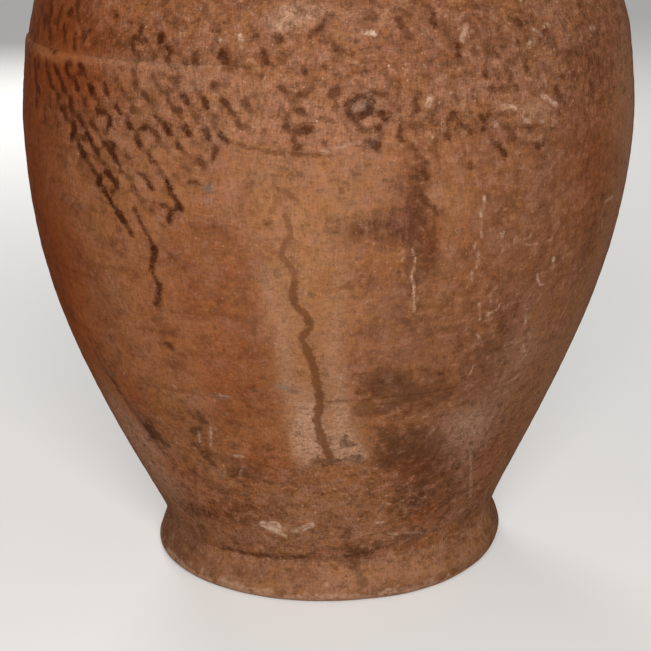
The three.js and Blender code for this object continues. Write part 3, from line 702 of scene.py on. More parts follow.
# %% Strokes of the lime, and runs under the pendants of the back
limes = [
    (0.8, 0.35, [(36.8, 82.5), (39.6, 71), (43.4, 58), (47, 46)]),
    (0.4, 0.9, [(14, 194.6), (14.7, 189.2), (14.7, 185.5), (14.1, 182.2), (14.8, 177), (15, 171), (15.6, 164)]),
    (0.5, 0.8, [(26.2, 215), (26.6, 210), (25.8, 208), (26.2, 205.8)]),
    (0.45, 0.7, [(26.3, 203.2), (26.4, 198.5), (26.6, 195.8)]), (0.6, 0.65, [(25.6, 193.8), (25.5, 191.5)]),
    (0.5, 0.75, [(26.3, 189.8), (26.5, 184.2), (26.3, 181.8)]), (0.6, 0.7, [(25.6, 180), (25.8, 176)]),
    (0.5, 0.65, [(31, 197.8), (30.9, 193.5)]), (0.5, 0.4, [(30.3, 196.5), (29.9, 194.5)]),
    (0.45, 0.5, [(32, 190), (31.3, 187.2)]), (0.4, 0.35, [(31.2, 186.8), (30.6, 184.8)]),
    (0.4, 0.35, [(30.9, 205), (31, 200.8)]), (0.7, 0.4, [(33.7, 191.2), (34, 192.8)]),
    (0.5, 0.5, [(37.3, 193.5), (37.1, 191.5), (36, 191.5)]), (0.4, 0.5, [(36.5, 188.8), (39.3, 188)]),
    (0.45, 0.45, [(41.8, 187.8), (43, 187.5), (43, 190.8)]),
    (0.6, 0.55, [(43.1, 193.2), (43.2, 194.2), (44.1, 196)]), (0.8, 0.95, [(44.6, 178), (44.8, 176.5)]),
    (0.7, 0.75, [(45.2, 174.2), (45.5, 172.5)]),
    (0.45, 0.8, [(41, 172), (41.4, 169.5), (42.7, 166), (43.5, 166)]),
    (0.4, 0.4, [(43.2, 172.2), (42.1, 171.8)]), (0.4, 0.65, [(56.1, 165.5), (59.5, 168.8)]),
    (0.7, 0.8, [(60.1, 197.2), (64, 197.2)]), (0.4, 0.5, [(60.9, 188), (61.4, 182.8)]),
    (0.6, 0.35, [(47.6, 176.5), (50.7, 178)]), (0.4, 0.35, [(51.8, 156.2), (52.4, 162.8)]),
    (0.5, 0.45, [(53.5, 143.2), (54.5, 145.5)]), (0.6, 0.55, [(30.2, 167.8), (31.4, 170.5)]),
    (0.5, 0.4, [(30.3, 167.8), (30.8, 163.8)]),
    (0.45, 0.7, [(33.2, 161.5), (32.2, 158.5), (30.6, 157.8), (31, 155.8)]),
    (0.6, 0.75, [(28.1, 164.2), (28.5, 161.8)]), (0.45, 0.55, [(28.7, 160.2), (29, 156.5)]),
    (0.6, 0.75, [(29.1, 155.5)]), (0.4, 0.4, [(39.6, 155.8), (40.9, 155)]),
    (0.9, 0.5, [(40.7, 152), (41.1, 147.2)]), (0.5, 0.4, [(42.9, 142.2), (44.3, 138)]),
    (0.5, 0.65, [(36.9, 138.8), (38.7, 138.5), (40.3, 138.5)]),
    (0.6, 0.4, [(42.6, 135.5), (42.9, 132.2), (44.8, 130.5)]), (0.6, 0.4, [(43, 126.2), (44.4, 129)]),
    (0.6, 0.55, [(40.9, 115.5), (43.4, 117), (44.6, 118.2)]),
    (0.4, 0.35, [(35.3, 109.5), (38.3, 112.2), (40.5, 114.5)]), (0.45, 0.85, [(30.1, 131.5), (29.6, 126.5)]),
    (0.5, 0.5, [(29.6, 123.8)]), (0.45, 0.5, [(29.3, 148.2), (30.5, 144.2)]),
    (0.4, 0.5, [(26.5, 112.8), (27, 110.5)]), (0.6, 0.4, [(36.3, 91.5), (37.3, 88.2)]),
    (0.5, 0.4, [(54.8, 74.2)]), (0.4, 0.7, [(16.4, 88), (18, 88.4)]),
    (0.4, 0.6, [(20.6, 107.8), (22.3, 107.4)]), (0.4, 0.55, [(24.6, 99.2), (23.5, 95.8)]),
    (0.5, 0.6, [(16, 56.8), (16.8, 56.2)]), (0.6, 0.6, [(20.2, 58.2), (20.8, 57.2)]),
    (0.4, 0.5, [(23.6, 56.2)]), (0.7, 0.6, [(18.6, 36.8), (21.4, 35.4)]),
    (0.5, 0.5, [(24.2, 35), (28.4, 33.2), (30.8, 31.8)]), (0.5, 0.4, [(16.7, 29.2)]),
    (0.8, 0.6, [(18, 6.4), (19.4, 6)]), (0.5, 0.5, [(22, 5.8), (24, 5.8)]),
    (1.1, 0.4, [(-2, 12), (-1.2, 11.6)]), (0.6, 0.75, [(-29.7, 99), (-30.7, 92.6)]),
    (0.6, 0.85, [(-26.3, 102.4), (-27.1, 96.8), (-27.8, 91)]), (0.8, 0.65, [(-22.2, 87.5), (-19.8, 87.5)]),
    (0.4, 0.55, [(-25.9, 80.6), (-26.4, 74)]), (0.4, 0.55, [(-20.5, 81.6), (-22.6, 73.6)]),
    (0.6, 0.6, [(-33, 125.6), (-32.3, 123)]), (0.8, 0.35, [(-22, 122.4), (-20.2, 121.6)]),
    (1.3, 0.6, [(30, 253.4), (31.3, 253), (32.4, 252.3)]),
    (1.2, 0.55, [(38.5, 255.4), (40, 252.6), (41.6, 250.4)]), (1.2, 0.45, [(28.3, 246)]),
    (0.9, 0.5, [(34.2, 245.6), (35.4, 245.2)]), (0.9, 0.5, [(37.6, 244.2), (38.4, 243.8)]),
    (0.8, 0.7, [(40.4, 241.7)]), (0.8, 0.45, [(-1.2, 240), (1, 241), (3, 242.6), (5, 243.6)]),
    (1, 0.5, [(36, 278.4), (37.6, 280.2)]), (1, 0.4, [(33, 277), (34, 277)]),
    (0.8, 0.5, [(53.8, 281), (55.6, 280.5)]), (1, 0.5, [(37.8, 284), (38.6, 282.6), (39.5, 281.8)]),
    (0.9, 0.55, [(40.6, 284.8), (41.8, 285)]), (1.4, 0.45, [(24, 288), (23.3, 283.6)]),
    (1.4, 0.6, [(16.6, 260.4), (16.3, 257.4)]), (1.1, 0.85, [(6, 288.3), (8, 288.3)]),
    (1, 0.9, [(-14.9, 288.6), (-14.7, 287.4)]), (0.8, 0.5, [(-14.6, 285), (-14.4, 283.6)]),
    (0.8, 0.5, [(-18.4, 287), (-17.9, 286.4)]), (0.5, 0.4, [(-13.6, 300), (-12.6, 297)]),
    (2.4, 0.85, [(-19.4, 45.2), (-17.4, 44.4), (-15.8, 45)]), (2, 0.85, [(-17.4, 42), (-15, 41)]),
    (1.4, 0.85, [(-15.4, 39.6), (-13.6, 38)]), (1.6, 0.55, [(-10.4, 41.8), (-8, 43.2)]),
    (1.6, 0.7, [(-8, 43.6), (-5, 46.4)]), (0.9, 1, [(14.2, 45.2), (15.6, 45)]),
    (0.5, 0.45, [(-9.6, 152), (-9.2, 150)]), (0.5, 0.45, [(-11, 196)]), (0.4, 0.45, [(3.4, 139), (2.6, 133)]),
]
STRAY_LIMES = 70
RUN_HEIGHTS = range(198, 120, -9)
RUN_HALF = 1.6
RUN_FORCE = 0.9
for _ in range(STRAY_LIMES):
    azimuth, height = rng.uniform(60, 285), rng.uniform(30, 300)
    fall = rng.uniform(2, 14)
    places = [(azimuth, height), (azimuth + 0.4, height - fall)]
    limes.append((rng.uniform(0.3, 0.6), rng.uniform(0.2, 0.6), places))
for turn in PENDANT_TURNS[1:]:
    azimuth = turn + rng.uniform(-2, 2)
    places = [(azimuth + rng.uniform(-0.8, 0.8), height) for height in RUN_HEIGHTS]
    runs.append((RUN_HALF, RUN_FORCE, places))
print("lime marks:", len(limes), "and runs in all:", len(runs))

# %% [markdown]
# ## Soft stains, and painted highlight and shade
# Soot, dust and the pale films of bloom and chalk have no edge, so they are soft spots: a place, a half width
# and a half height, and an amount. Some of them paint light and shade: a highlight along the ridge on the left
# with shadow above it, sheen down the right side, and light on the lower left, where a pale film lies too.
# Other spots change the clay itself: where the fire reddened it, where damp dulled it, where ash settled, and
# where a wiping hand left it calm. The shade spots darken the clay in places, and down the left side they and
# the reddening there are painted shade. The marks of the front are placed, and the rest are drawn at random.

# %% Soft spots of soot, dust, bloom and chalk, and of painted highlight and shadow
# Each spot is an azimuth in degrees, then a height, a half width and a half height in millimetres, and an
# amount.
# The soot spots at 280 to 288 mm from -64 to -32 degrees are painted shadow above the ridge.
soot_and_painted_shade_spots = [
    (15.4, 224, 2.8, 12, 0.55), (13.8, 231, 4, 6, 0.35), (17.6, 195, 2.6, 7, 0.4), (13.4, 192, 4, 4, 0.3),
    (17, 180, 3, 18, 0.4), (54, 252, 16, 16, 0.35), (58, 178, 14, 18, 0.3), (36, 126, 24, 30, 0.3),
    (36, 64, 7, 10, 0.35), (-46, 92, 8, 7, 0.3), (-18, 79, 10, 7, 0.3), (-16, 281, 20, 6, 0.3),
    (8, 25, 16, 6, 0.3), (11, 130, 12, 5, 0.6), (14, 118, 14, 6, 0.4), (-17, 88, 14, 14, 0.25),
    (14, 95, 14, 10, 0.4), (21, 86, 18, 10, 0.3), (20, 66, 14, 12, 0.35), (-29, 105, 8, 7, 0.5),
    (-31, 88, 8, 5, 0.5), (-24, 76, 8, 5, 0.5), (-53, 114, 3, 8, 0.4), (-45.6, 92, 7, 11, 0.65),
    (-42, 46, 18, 4, 0.4), (-22, 56, 20, 7, 0.3), (9, 28, 12, 9, 0.55), (-64, 288, 16, 5, 0.6),
    (-40, 284, 26, 5, 0.45), (-32, 280, 14, 3, 0.3), (34, 150, 14, 26, 0.3), (38, 50, 10, 10, 0.4),
    (24, 52, 10, 14, 0.6), (-30, 138, 10, 14, 0.25), (2, 100, 4, 2, 0.5), (3, 85, 10, 2.4, 0.5),
    (-28, 44, 20, 4, 0.3), (48, 272, 14, 4, 0.4), (5, 275, 60, 5, 0.3),
]
# The dust spots at 64 and 66 degrees are painted sheen down the right side, and the one at -56 degrees low down is
# painted light on the lower left, where a pale film lies too.
dust_and_painted_light_spots = [
    (4, 50, 14, 9, 0.45), (-12, 232, 12, 10, 0.3), (-5, 215, 30, 24, 0.5), (-6, 180, 16, 30, 0.65),
    (1, 160, 10, 34, 0.55), (-5, 130, 14, 22, 0.55), (3, 105, 14, 14, 0.8), (-5, 104, 9, 12, 0.7),
    (-3, 297, 16, 5, 0.8), (-16, 88, 20, 22, 0.4), (9, 92, 6, 8, 0.4), (5, 225, 16, 14, 0.4),
    (22, 205, 14, 20, 0.3), (24, 110, 12, 5, 0.6), (34, 249, 16, 4, 0.5), (-16, 43, 14, 4, 0.7),
    (-5, 62, 30, 12, 0.55), (44, 100, 22, 18, 0.4), (40, 60, 16, 12, 0.35), (46, 258, 12, 3, 0.5),
    (20, 36, 16, 3, 0.5), (-24, 9, 22, 5, 0.6), (6, 11, 24, 6, 0.6), (32, 12, 16, 6, 0.5),
    (-56, 75, 22, 40, 0.6), (-32, 72, 12, 10, 0.5), (64, 100, 26, 110, 0.6), (66, 250, 20, 40, 0.25),
    (-6, 142, 12, 20, 0.25), (20, 212, 8, 14, 0.4), (20, 172, 6, 28, 0.3), (19, 128, 7, 5, 0.4),
    (-35, 116, 24, 8, 0.35),
]
# The thin bloom spots at 271 to 277 mm on the left are a painted highlight along the ridge, those at 66 and 72
# degrees painted sheen down the right side, and those at -60 and -47 degrees low down painted light on the lower
# left, where a pale film lies too.
bloom_and_painted_light_spots = [
    (-47, 80, 14, 30, 0.8), (-36, 64, 14, 12, 0.5), (38, 84, 14, 14, 0.4), (44, 62, 14, 16, 0.3),
    (-27, 120, 8, 7, 0.4), (-32, 271, 40, 6, 0.6), (-36, 254, 34, 18, 0.3), (0, 290, 60, 14, 0.7),
    (-2, 258, 60, 14, 0.7), (28, 268, 40, 16, 0.5), (-52, 275.5, 44, 3.5, 0.9), (-26, 275, 30, 3.5, 0.6),
    (-2, 38, 60, 10, 0.8), (-20, 250, 40, 24, 0.4), (-2, 12, 70, 9, 0.5), (36, 250, 14, 5, 0.9),
    (-2, 238, 32, 12, 0.5), (8, 222, 14, 16, 0.4), (36, 96, 20, 14, 0.5), (46, 60, 14, 16, 0.4),
    (4, 70, 40, 16, 0.35), (-27, 116, 10, 8, 0.5), (12, 160, 26, 44, 0.4), (-60, 74, 20, 44, 1),
    (72, 240, 18, 60, 0.6), (66, 120, 16, 70, 0.5), (40, 120, 40, 40, 0.4), (120, 280, 120, 20, 0.5),
    (180, 40, 160, 14, 0.5), (240, 250, 120, 30, 0.4), (28, 80, 7, 7, 0.5), (39, 80, 8, 8, 0.5),
    (50, 36, 18, 6, 0.4), (-15, 22, 26, 6, 0.4), (-62, 24, 14, 6, 0.4), (42, 60, 9, 20, 0.7),
    (26, 33, 12, 5, 0.6), (36, 92, 20, 6, 0.4), (44, 138, 26, 36, 0.3), (-72, 277, 18, 3.5, 0.8),
]
# The thin chalk spots at 274 to 277 mm on the left are a painted highlight along the ridge, those at 66 to 73
# degrees painted sheen down the right side, and those at -60 and -50 degrees low down painted light on the lower
# left, where a pale film lies too.
chalk_and_painted_light_spots = [
    (-50, 74, 12, 26, 0.5), (-5.1, 90, 6, 7, 0.6), (-3.6, 107, 5, 14, 0.4), (5.2, 96, 6, 9, 0.5),
    (38, 82, 14, 12, 0.3), (-62, 274.6, 30, 3.4, 0.8), (-42, 276, 26, 3, 0.5), (-26, 276.4, 20, 3, 0.25),
    (-1, 97, 8, 8, 0.5), (8, 89, 4, 5, 0.5), (34, 92, 24, 16, 0.3), (72, 240, 16, 70, 0.2),
    (34, 97, 16, 13, 0.55), (43, 130, 18, 16, 0.35), (-5, 99, 6, 11, 1), (-4.4, 116, 6, 14, 0.6),
    (3, 94, 5, 6, 0.9), (5.6, 89, 5, 5, 0.7), (3, 112, 5, 16, 0.5), (-5, 297, 12, 5, 0.9),
    (-8, 292, 6, 4, 0.6), (36, 250, 8, 4, 0.5), (37, 72, 3, 18, 0.35), (1.5, 140, 6, 34, 0.4),
    (-8, 150, 5, 40, 0.42), (-10.6, 176, 4, 22, 0.35), (-16.5, 43, 10, 3.5, 0.8), (66, 90, 18, 90, 0.25),
    (73, 220, 20, 60, 0.3), (-60, 82, 16, 34, 0.85), (-26.5, 104, 5, 9, 0.35), (150, 120, 30, 20, 0.4),
    (205, 190, 24, 40, 0.35), (95, 70, 18, 20, 0.4),
]
print("spots of soot:", len(soot_and_painted_shade_spots), "of dust:", len(dust_and_painted_light_spots), "of bloom:", len(bloom_and_painted_light_spots),
      "and of chalk:", len(chalk_and_painted_light_spots))

# %% Soft spots that change the clay, and painted shade down the left side
# The two largest reddening spots, at -78 and -66 degrees, redden the clay and paint shade down the left side.
ruddy_and_painted_shade_spots = [
    (-78, 240, 62, 90, 1), (-66, 150, 40, 56, 0.9), (-56, 282, 46, 24, 0.7), (-46, 262, 24, 14, 0.35),
    (-26, 166, 24, 34, 0.28), (-20, 128, 20, 34, 0.26), (-15, 88, 14, 17, 0.5), (17.4, 196, 4, 12, 0.5),
    (22, 76, 10, 8, 0.5), (28, 44, 12, 8, 0.5), (-44, 70, 30, 8, 0.4), (-34, 50, 20, 10, 0.4),
    (-46, 112, 16, 10, 0.4), (52, 225, 20, 46, 0.4), (50, 70, 24, 20, 0.3), (130, 130, 60, 60, 0.4),
    (215, 110, 50, 50, 0.5),
]
# The shade spots at -70 and -62 degrees are painted shade down the left side of the belly.
shade_spots = [
    (-46.6, 90, 5, 9, 0.7), (-46, 46, 20, 5, 0.4), (34, 86, 26, 24, 0.3), (8, 206, 30, 10, 0.2),
    (14, 172, 14, 30, 0.25), (40, 160, 30, 50, 0.15), (13.4, 222, 7, 16, 0.6), (10.6, 218, 8, 12, 0.2),
    (13.6, 205, 10, 6.5, 0.6), (5.2, 205, 13, 6, 0.55), (15.6, 186, 8, 18, 0.3), (15, 126, 26, 12, 0.45),
    (18, 90, 22, 16, 0.5), (30, 70, 22, 18, 0.25), (44, 90, 30, 60, 0.3), (24, 160, 26, 30, 0.25),
    (52, 34, 30, 12, 0.1), (0, 288, 90, 12, 0.25), (-70, 172, 24, 44, 0.5), (52, 256, 16, 30, 0.3),
    (56, 190, 16, 34, 0.25), (-48, 110, 8, 14, 0.3), (2, 262, 46, 14, 0.2), (30, 280, 40, 20, 0.25),
    (-62, 162, 14, 20, 0.3), (57, 266, 16, 14, 0.3), (58, 182, 16, 26, 0.25), (20, 113, 20, 5, 0.3),
    (27, 48, 8, 8, 0.3), (-40, 45, 16, 8, 0.3),
]
calm_spots = [
    (-24, 160, 46, 54, 0.9), (-52, 190, 34, 44, 0.6), (-15, 86, 14, 18, 0.5), (62, 240, 26, 50, 0.8),
    (60, 160, 20, 50, 0.6), (-2, 190, 30, 40, 0.3), (-22, 118, 30, 20, 0.4),
]
ash_spots = [
    (-20, 224, 3.2, 2.4, 0.8), (-20.6, 218, 2.4, 2, 0.6), (-54, 121, 8, 2.4, 0.6), (-22, 121, 6, 2, 0.5),
    (-9, 129, 5, 2.2, 0.7), (6.6, 258, 4, 5, 0.8), (4, 257, 3, 6, 0.6), (7, 243, 3, 3, 0.6),
    (-25.4, 290, 4, 2.5, 0.4),
]
dull_spots = [
    (40, 190, 50, 90, 0.7), (12, 165, 22, 34, 0.4), (46, 270, 50, 40, 0.5), (34, 80, 40, 40, 0.4),
    (24, 250, 40, 20, 0.3), (5, 207, 16, 6, 0.8), (0, 286, 90, 14, 0.4), (4, 260, 50, 16, 0.25),
    (170, 160, 90, 90, 0.6),
]
print("spots reddened:", len(ruddy_and_painted_shade_spots), "shaded:", len(shade_spots), "and wiped calm:", len(calm_spots))

# %% Soft spots on the sides and the back
UNSEEN = (75, 285)
STAINED = (30, 290)


def stray(*spans):
    """A place on the unseen sides or back, and a number drawn from each span."""
    return [rng.uniform(*span) for span in (UNSEEN, *spans)]


for _ in range(26):
    soot_and_painted_shade_spots.append(stray(STAINED, (8, 26), (6, 24), (0.3, 0.65)))
for _ in range(22):
    dust_and_painted_light_spots.append(stray(STAINED, (6, 24), (8, 34), (0.3, 0.7)))
for _ in range(14):
    ash_spots.append([*stray((60, 290), (2, 9), (2, 4)), 0.6])
print("with the sides and the back, spots of soot:", len(soot_and_painted_shade_spots), "of dust:", len(dust_and_painted_light_spots),
      "and of ash:", len(ash_spots))

# %% [markdown]
# ## Marks stored on the points
# A material can read a number from every point of a mesh, an attribute. Each layer of strokes becomes one: 0.5
# on the edge of a stroke, 1 well inside and 0 well outside, so that the material can still roughen the edge.
# A second attribute holds the strength of the nearest stroke. A tree of sample points finds that stroke fast.

# %% Strokes that can be searched
SAMPLE = 0.5 * MM
EDGE_REACH = 2 * MM
UNEVEN = 0.5
UNEVEN_SIZE = 3.5 * MM
WANDER_SIZE = 4 * MM
WANDER_SEED = 7
# Vector noise takes its start from the clock unless it gets a seed.
noise.seed_set(WANDER_SEED)


class Strokes:
    """A layer of strokes, as sample points on the wall that can be searched. No stroke keeps one width."""

    def __init__(self, strokes, spread=1.0, wander=0.0):
        self.halves, self.forces, spots = [], [], []
        for half, force, places in strokes:
            ends = [on_wall(azimuth, height * MM) for azimuth, height in places]
            for a, b in zip(ends, ends[1:] or ends):
                count = max(1, math.ceil((b - a).length / SAMPLE))
                line = [a.lerp(b, i / count) for i in range(count + 1)]
                line = [spot + noise.noise_vector(spot / WANDER_SIZE) * wander * MM for spot in line]
                spots += line
                self.halves += [half * spread * MM * (1 + UNEVEN * noise.noise(spot / UNEVEN_SIZE)) for spot in line]
                self.forces += [force] * len(line)
        self.tree = kdtree.KDTree(len(spots))
        for i, spot in enumerate(spots):
            self.tree.insert(spot, i)
        self.tree.balance()

    def at(self, spot):
        """The depth inside the nearest stroke, from 0 to 1, and its strength."""
        _, i, away = self.tree.find(spot)
        depth = (self.halves[i] - away) / EDGE_REACH
        return min(1, max(0, 0.5 + 0.5 * depth)), self.forces[i]


layers = {
    "dab": Strokes(placed + net, spread=0.9, wander=0.5),
    "link": Strokes(links, wander=0.8),
    "run": Strokes(runs, spread=0.9, wander=0.4),
    "stain": Strokes(stains, wander=1.5),
    "lime": Strokes(limes, wander=0.5),
}
print("sample points in each layer:", {name: len(strokes.halves) for name, strokes in layers.items()})

# %% Write strokes and spots to attributes
ON_SURFACE = 1.2 * MM


def azimuths_of(spots):
    return np.degrees(np.arctan2(spots[:, 0], -spots[:, 1]))


def soft_amount(spots, soft_spots):
    """The sum of soft spots at each point, at most 1."""
    azimuths = azimuths_of(spots)
    radii = radii_of(spots)
    amounts = np.zeros(len(spots))
    for azimuth, height, half_width, half_height, amount in soft_spots:
        across = np.radians(turn_between(azimuths, azimuth)) * radii / (half_width * MM)
        up = (spots[:, 2] - height * MM) / (half_height * MM)
        amounts += amount * np.exp(-across * across - up * up)
    return np.minimum(amounts, 1)


def store(mesh, name, values):
    layer = mesh.attributes.new(name, "FLOAT", "POINT")
    layer.data.foreach_set("value", np.asarray(values, np.float32))


# The soot, dust, bloom, chalk, ruddy and shade layers carry painted highlight, sheen and shade besides their stains
# and films.
soft_layers = {"soot_and_painted_shade": soot_and_painted_shade_spots, "dust_and_painted_light": dust_and_painted_light_spots, "bloom_and_painted_light": bloom_and_painted_light_spots, "ash": ash_spots, "dull": dull_spots,
               "chalk_and_painted_light": chalk_and_painted_light_spots, "ruddy_and_painted_shade": ruddy_and_painted_shade_spots, "shade": shade_spots, "calm": calm_spots}


def mark(mesh, node):
    """Stores every mark on a wall's mesh, and returns which of its points are on the outer face."""
    spots = points_of(mesh)
    outer = np.flatnonzero(off_outside(spots, node) < ON_SURFACE)
    for name, strokes in layers.items():
        depths = np.zeros(len(spots))
        forces = np.zeros(len(spots))
        for i in outer:
            depths[i], forces[i] = strokes.at(spots[i])
        store(mesh, name, depths)
        store(mesh, name + "_force", forces)
    for name, soft_spots in soft_layers.items():
        amounts = np.zeros(len(spots))
        amounts[outer] = soft_amount(spots[outer], soft_spots)
        store(mesh, name, amounts)
    return outer


outer_points = {node: mark(turned[node], node) for node in WALLS}
print("points that carry marks:", {node: len(points) for node, points in outer_points.items()})

# %% [markdown]
# ## Shaping the lifts
# Now the points move. The potter pressed the foot and the belly on and wiped over the joints, so these lines are
# open in only one stretch each. On the left the ridge still stands proud of the shoulder; on the right the
# shoulder's foot is smeared down over it. Small pits break the wall, and every piece gets the same lean.

# %% Press the joints together
SMEAR_FROM = (-45, 5)
SMEAR_BACK = (120, 175)
SMEAR_LEAST = 0.5
SMEAR_OUT = 2.5 * MM
SMEAR_DOWN = 2.2 * MM
SMEAR_RISE = 13 * MM
OPEN_FADE = 6
PRESSED_FLAT = 0.4
BLUR_REACH = 2.5
BLUR_ROWS = 11
# Each joint has a height, the spread and reach of the pressing, the azimuths where it is open, and what is
# left there.
foot_joint = (faces["lower_wall"][0].y, 3 * MM, 10 * MM, (-38, 12), 0.75)
seam_joint = (faces["belly_wall"][0].y, 1 * MM, 3 * MM, (-2, 28), 0.5)


def smooth_share(value, low, high):
    share = np.clip((value - low) / (high - low), 0, 1)
    return share * share * (3 - 2 * share)


def blurred_radius(heights, spread):
    """The wall's radius at each height, averaged over its neighbourhood."""
    offsets = np.linspace(-BLUR_REACH, BLUR_REACH, BLUR_ROWS)
    rows = [radius_at(heights + offset * spread) for offset in offsets]
    return np.average(rows, axis=0, weights=np.exp(-0.5 * offsets**2))


def push_out(spots, move):
    """Moves each point straight out from the axis."""
    spots[:, :2] *= (1 + move / radii_of(spots))[:, None]


def press(spots, joint):
    """Fills the groove of a joint, as a wiping thumb does."""
    height, spread, reach, (start, end), left_open = joint
    turns = azimuths_of(spots)
    gap = smooth_share(turns, start - OPEN_FADE, start) * (1 - smooth_share(turns, end, end + OPEN_FADE))
    near = 1 - smooth_share(np.abs(spots[:, 2] - height), PRESSED_FLAT * reach, reach)
    groove = blurred_radius(spots[:, 2], spread) - radii_of(spots)
    push_out(spots, near * (1 - gap * (1 - left_open)) * groove)


def smear(spots):
    """Presses the shoulder's foot out and down over the ridge, most of all from the front round to the right."""
    turns = azimuths_of(spots)
    share = smooth_share(turns, *SMEAR_FROM) * (1 - smooth_share(turns, *SMEAR_BACK))
    amount = SMEAR_LEAST + (1 - SMEAR_LEAST) * share
    near = np.clip(1 - (spots[:, 2] - ridge_height) / SMEAR_RISE, 0, 1)
    push_out(spots, amount * near**1.5 * SMEAR_OUT)
    spots[:, 2] -= amount * near**4 * SMEAR_DOWN


print("foot joint at", round(foot_joint[0] / MM, 1), "mm, seam at", round(seam_joint[0] / MM, 1), "mm")

# %% Pits, relief and lean
# Each pit is an azimuth in degrees, then a height, a half width and a depth in millimetres.
pits = [(-31.5, 145, 3, 1.2), (-57.5, 150, 2.2, 0.5), (12, 161, 1.6, 0.6), (-3.6, 100, 2.6, 0.5),
        (3, 96, 2.4, 0.7), (30, 160, 2.4, 0.6), (-31, 108, 3, 0.6), (-33, 90, 3, 0.7), (-14, 22, 4, 0.8),
        (24, 15, 3.5, 0.7)]
STRAY_PITS = 120
for _ in range(STRAY_PITS):
    pits.append((rng.uniform(-180, 180), rng.uniform(8, 300), rng.uniform(0.9, 2.2), rng.uniform(0.15, 0.5)))


def shape_wall(mesh, outer, node):
    """Moves a lift's points: relief and pits on its outer face, the smear on the shoulder, and the lean."""
    spots = points_of(mesh)
    ways = normals_of(mesh)
    relief = reliefs_of(spots[outer])
    for azimuth, height, half, depth in pits:
        away = np.linalg.norm(spots[outer] - np.array(on_wall(azimuth, height * MM)), axis=1) / (half * MM)
        relief -= depth * MM * np.exp(-away**4)
    face = spots[outer]
    press(face, foot_joint)
    press(face, seam_joint)
    face += ways[outer] * relief[:, None]
    if node == "shoulder_wall":
        smear(face)
    spots[outer] = face
    if node == "foot_ring":
        spots[:, 2] = np.maximum(spots[:, 2], 0)
    place_points(mesh, leaned(spots))


for node in WALLS:
    shape_wall(turned[node], outer_points[node], node)
for node in ("base_disc", "neck", "rim_coil"):
    mesh = turned[node]
    spots = points_of(mesh)
    place_points(mesh, leaned(spots + normals_of(mesh) * reliefs_of(spots)[:, None]))
print("pits:", len(pits), "and a lean of", round(math.degrees(math.atan(LEAN)), 1), "degrees")

# %% [markdown]
# ## The handles
# A handle is a strap pulled from a lump of wet clay, bent over and pressed on at the neck and the shoulder with
# the thumb. The frame's strap has the right path but flat facets. A voxel remesh gives it an even skin, smoothing
# takes the facets away, and the roots are spread against the wall as a thumb would spread them.

# %% Remesh, smooth and spread the roots
SKIN = 1.6 * MM
SMOOTHINGS = 14
ROOT_REACH = 13 * MM
ROOT_SPREAD = 4.5 * MM
body_line = sorted({(p.y, p.x) for node in WALLS[3:] + ["neck"] for p in smoothed(faces[node], FINE_STEP)})
body_heights = np.array([height for height, _ in body_line])
body_radii = np.array([radius for _, radius in body_line])


def off_body(spots):
    """The gap between each point and the shoulder or neck, along the way out from the wall."""
    cut = cut_of(spots)
    wall = np.stack([body_radii, body_heights], 1)
    away = np.linalg.norm(cut[:, None] - wall[None], axis=2)
    outside = cut[:, 0] > np.interp(cut[:, 1], body_heights, body_radii)
    return np.where(outside, away.min(1), -away.min(1))


def linked(name, data):
    """A new object in the scene."""
    thing = bpy.data.objects.new(name, data)
    bpy.context.collection.objects.link(thing)
    return thing


def pulled_handle(node):
    """A handle's mesh: the frame's strap with an even skin, rounded, with spread roots."""
    bm = merged_copy(node)
    rough = bpy.data.meshes.new(node + "_strap")
    bm.to_mesh(rough)
    bm.free()
    strap = linked(node + "_strap", rough)
    skin = strap.modifiers.new("even skin", "REMESH")
    skin.mode = "VOXEL"
    skin.voxel_size = SKIN
    mesh = bpy.data.meshes.new_from_object(strap.evaluated_get(bpy.context.evaluated_depsgraph_get()))
    bpy.data.objects.remove(strap)
    bm = bmesh.new()
    bm.from_mesh(mesh)
    for _ in range(SMOOTHINGS):
        bmesh.ops.smooth_vert(bm, verts=bm.verts, factor=0.5, use_axis_x=True, use_axis_y=True, use_axis_z=True)
    for face in bm.faces:
        face.smooth = True
    bm.to_mesh(mesh)
    bm.free()
    spots = points_of(mesh)
    near = np.clip(1 - off_body(spots) / ROOT_REACH, 0, 1)
    relief = reliefs_of(spots) + ROOT_SPREAD * near**2
    spots += normals_of(mesh) * relief[:, None]
    place_points(mesh, leaned(spots))
    return mesh


handles = {node: pulled_handle(node) for node in ("handle_left", "handle_right")}
print("faces on the handles:", {node: len(mesh.polygons) for node, mesh in handles.items()})

# %% [markdown]
# ## Fired clay
# Terracotta is matt and never one colour: the kiln makes light and dark clouds, the wiping hand leaves level
# streaks, and rain and washing leave upright ones. Films of dust, bloom and damp lie over that, with painted
# highlight and shade among them, and grains of sand break the skin. Each is a noise texture at its own scale on
# Object coordinates, which sets the share of a colour that is laid over the last. An image would show the same,
# but a node pattern has no seam and no edge.

# %% Small helpers for node trees
def put(tree, kind, inputs, out=0, **settings):
    """Adds a node, sets or links its inputs, and returns one of its outputs."""
    node = tree.nodes.new(kind)
    for name, value in settings.items():
        setattr(node, name, value)
    for key, value in inputs.items():
        if isinstance(value, bpy.types.NodeSocket):
            tree.links.new(value, node.inputs[key])
        else:
            node.inputs[key].default_value = value
    return node.outputs[out] if node.outputs else None


def cleared(owner):
    """The empty node tree of a material or a world."""
    owner.use_nodes = True
    owner.node_tree.nodes.clear()
    return owner.node_tree


def ramp(tree, value, low, high, start=0.0, end=1.0):
    inputs = {"Value": value, "From Min": low, "From Max": high, "To Min": start, "To Max": end}
    return put(tree, "ShaderNodeMapRange", inputs, interpolation_type="SMOOTHSTEP")


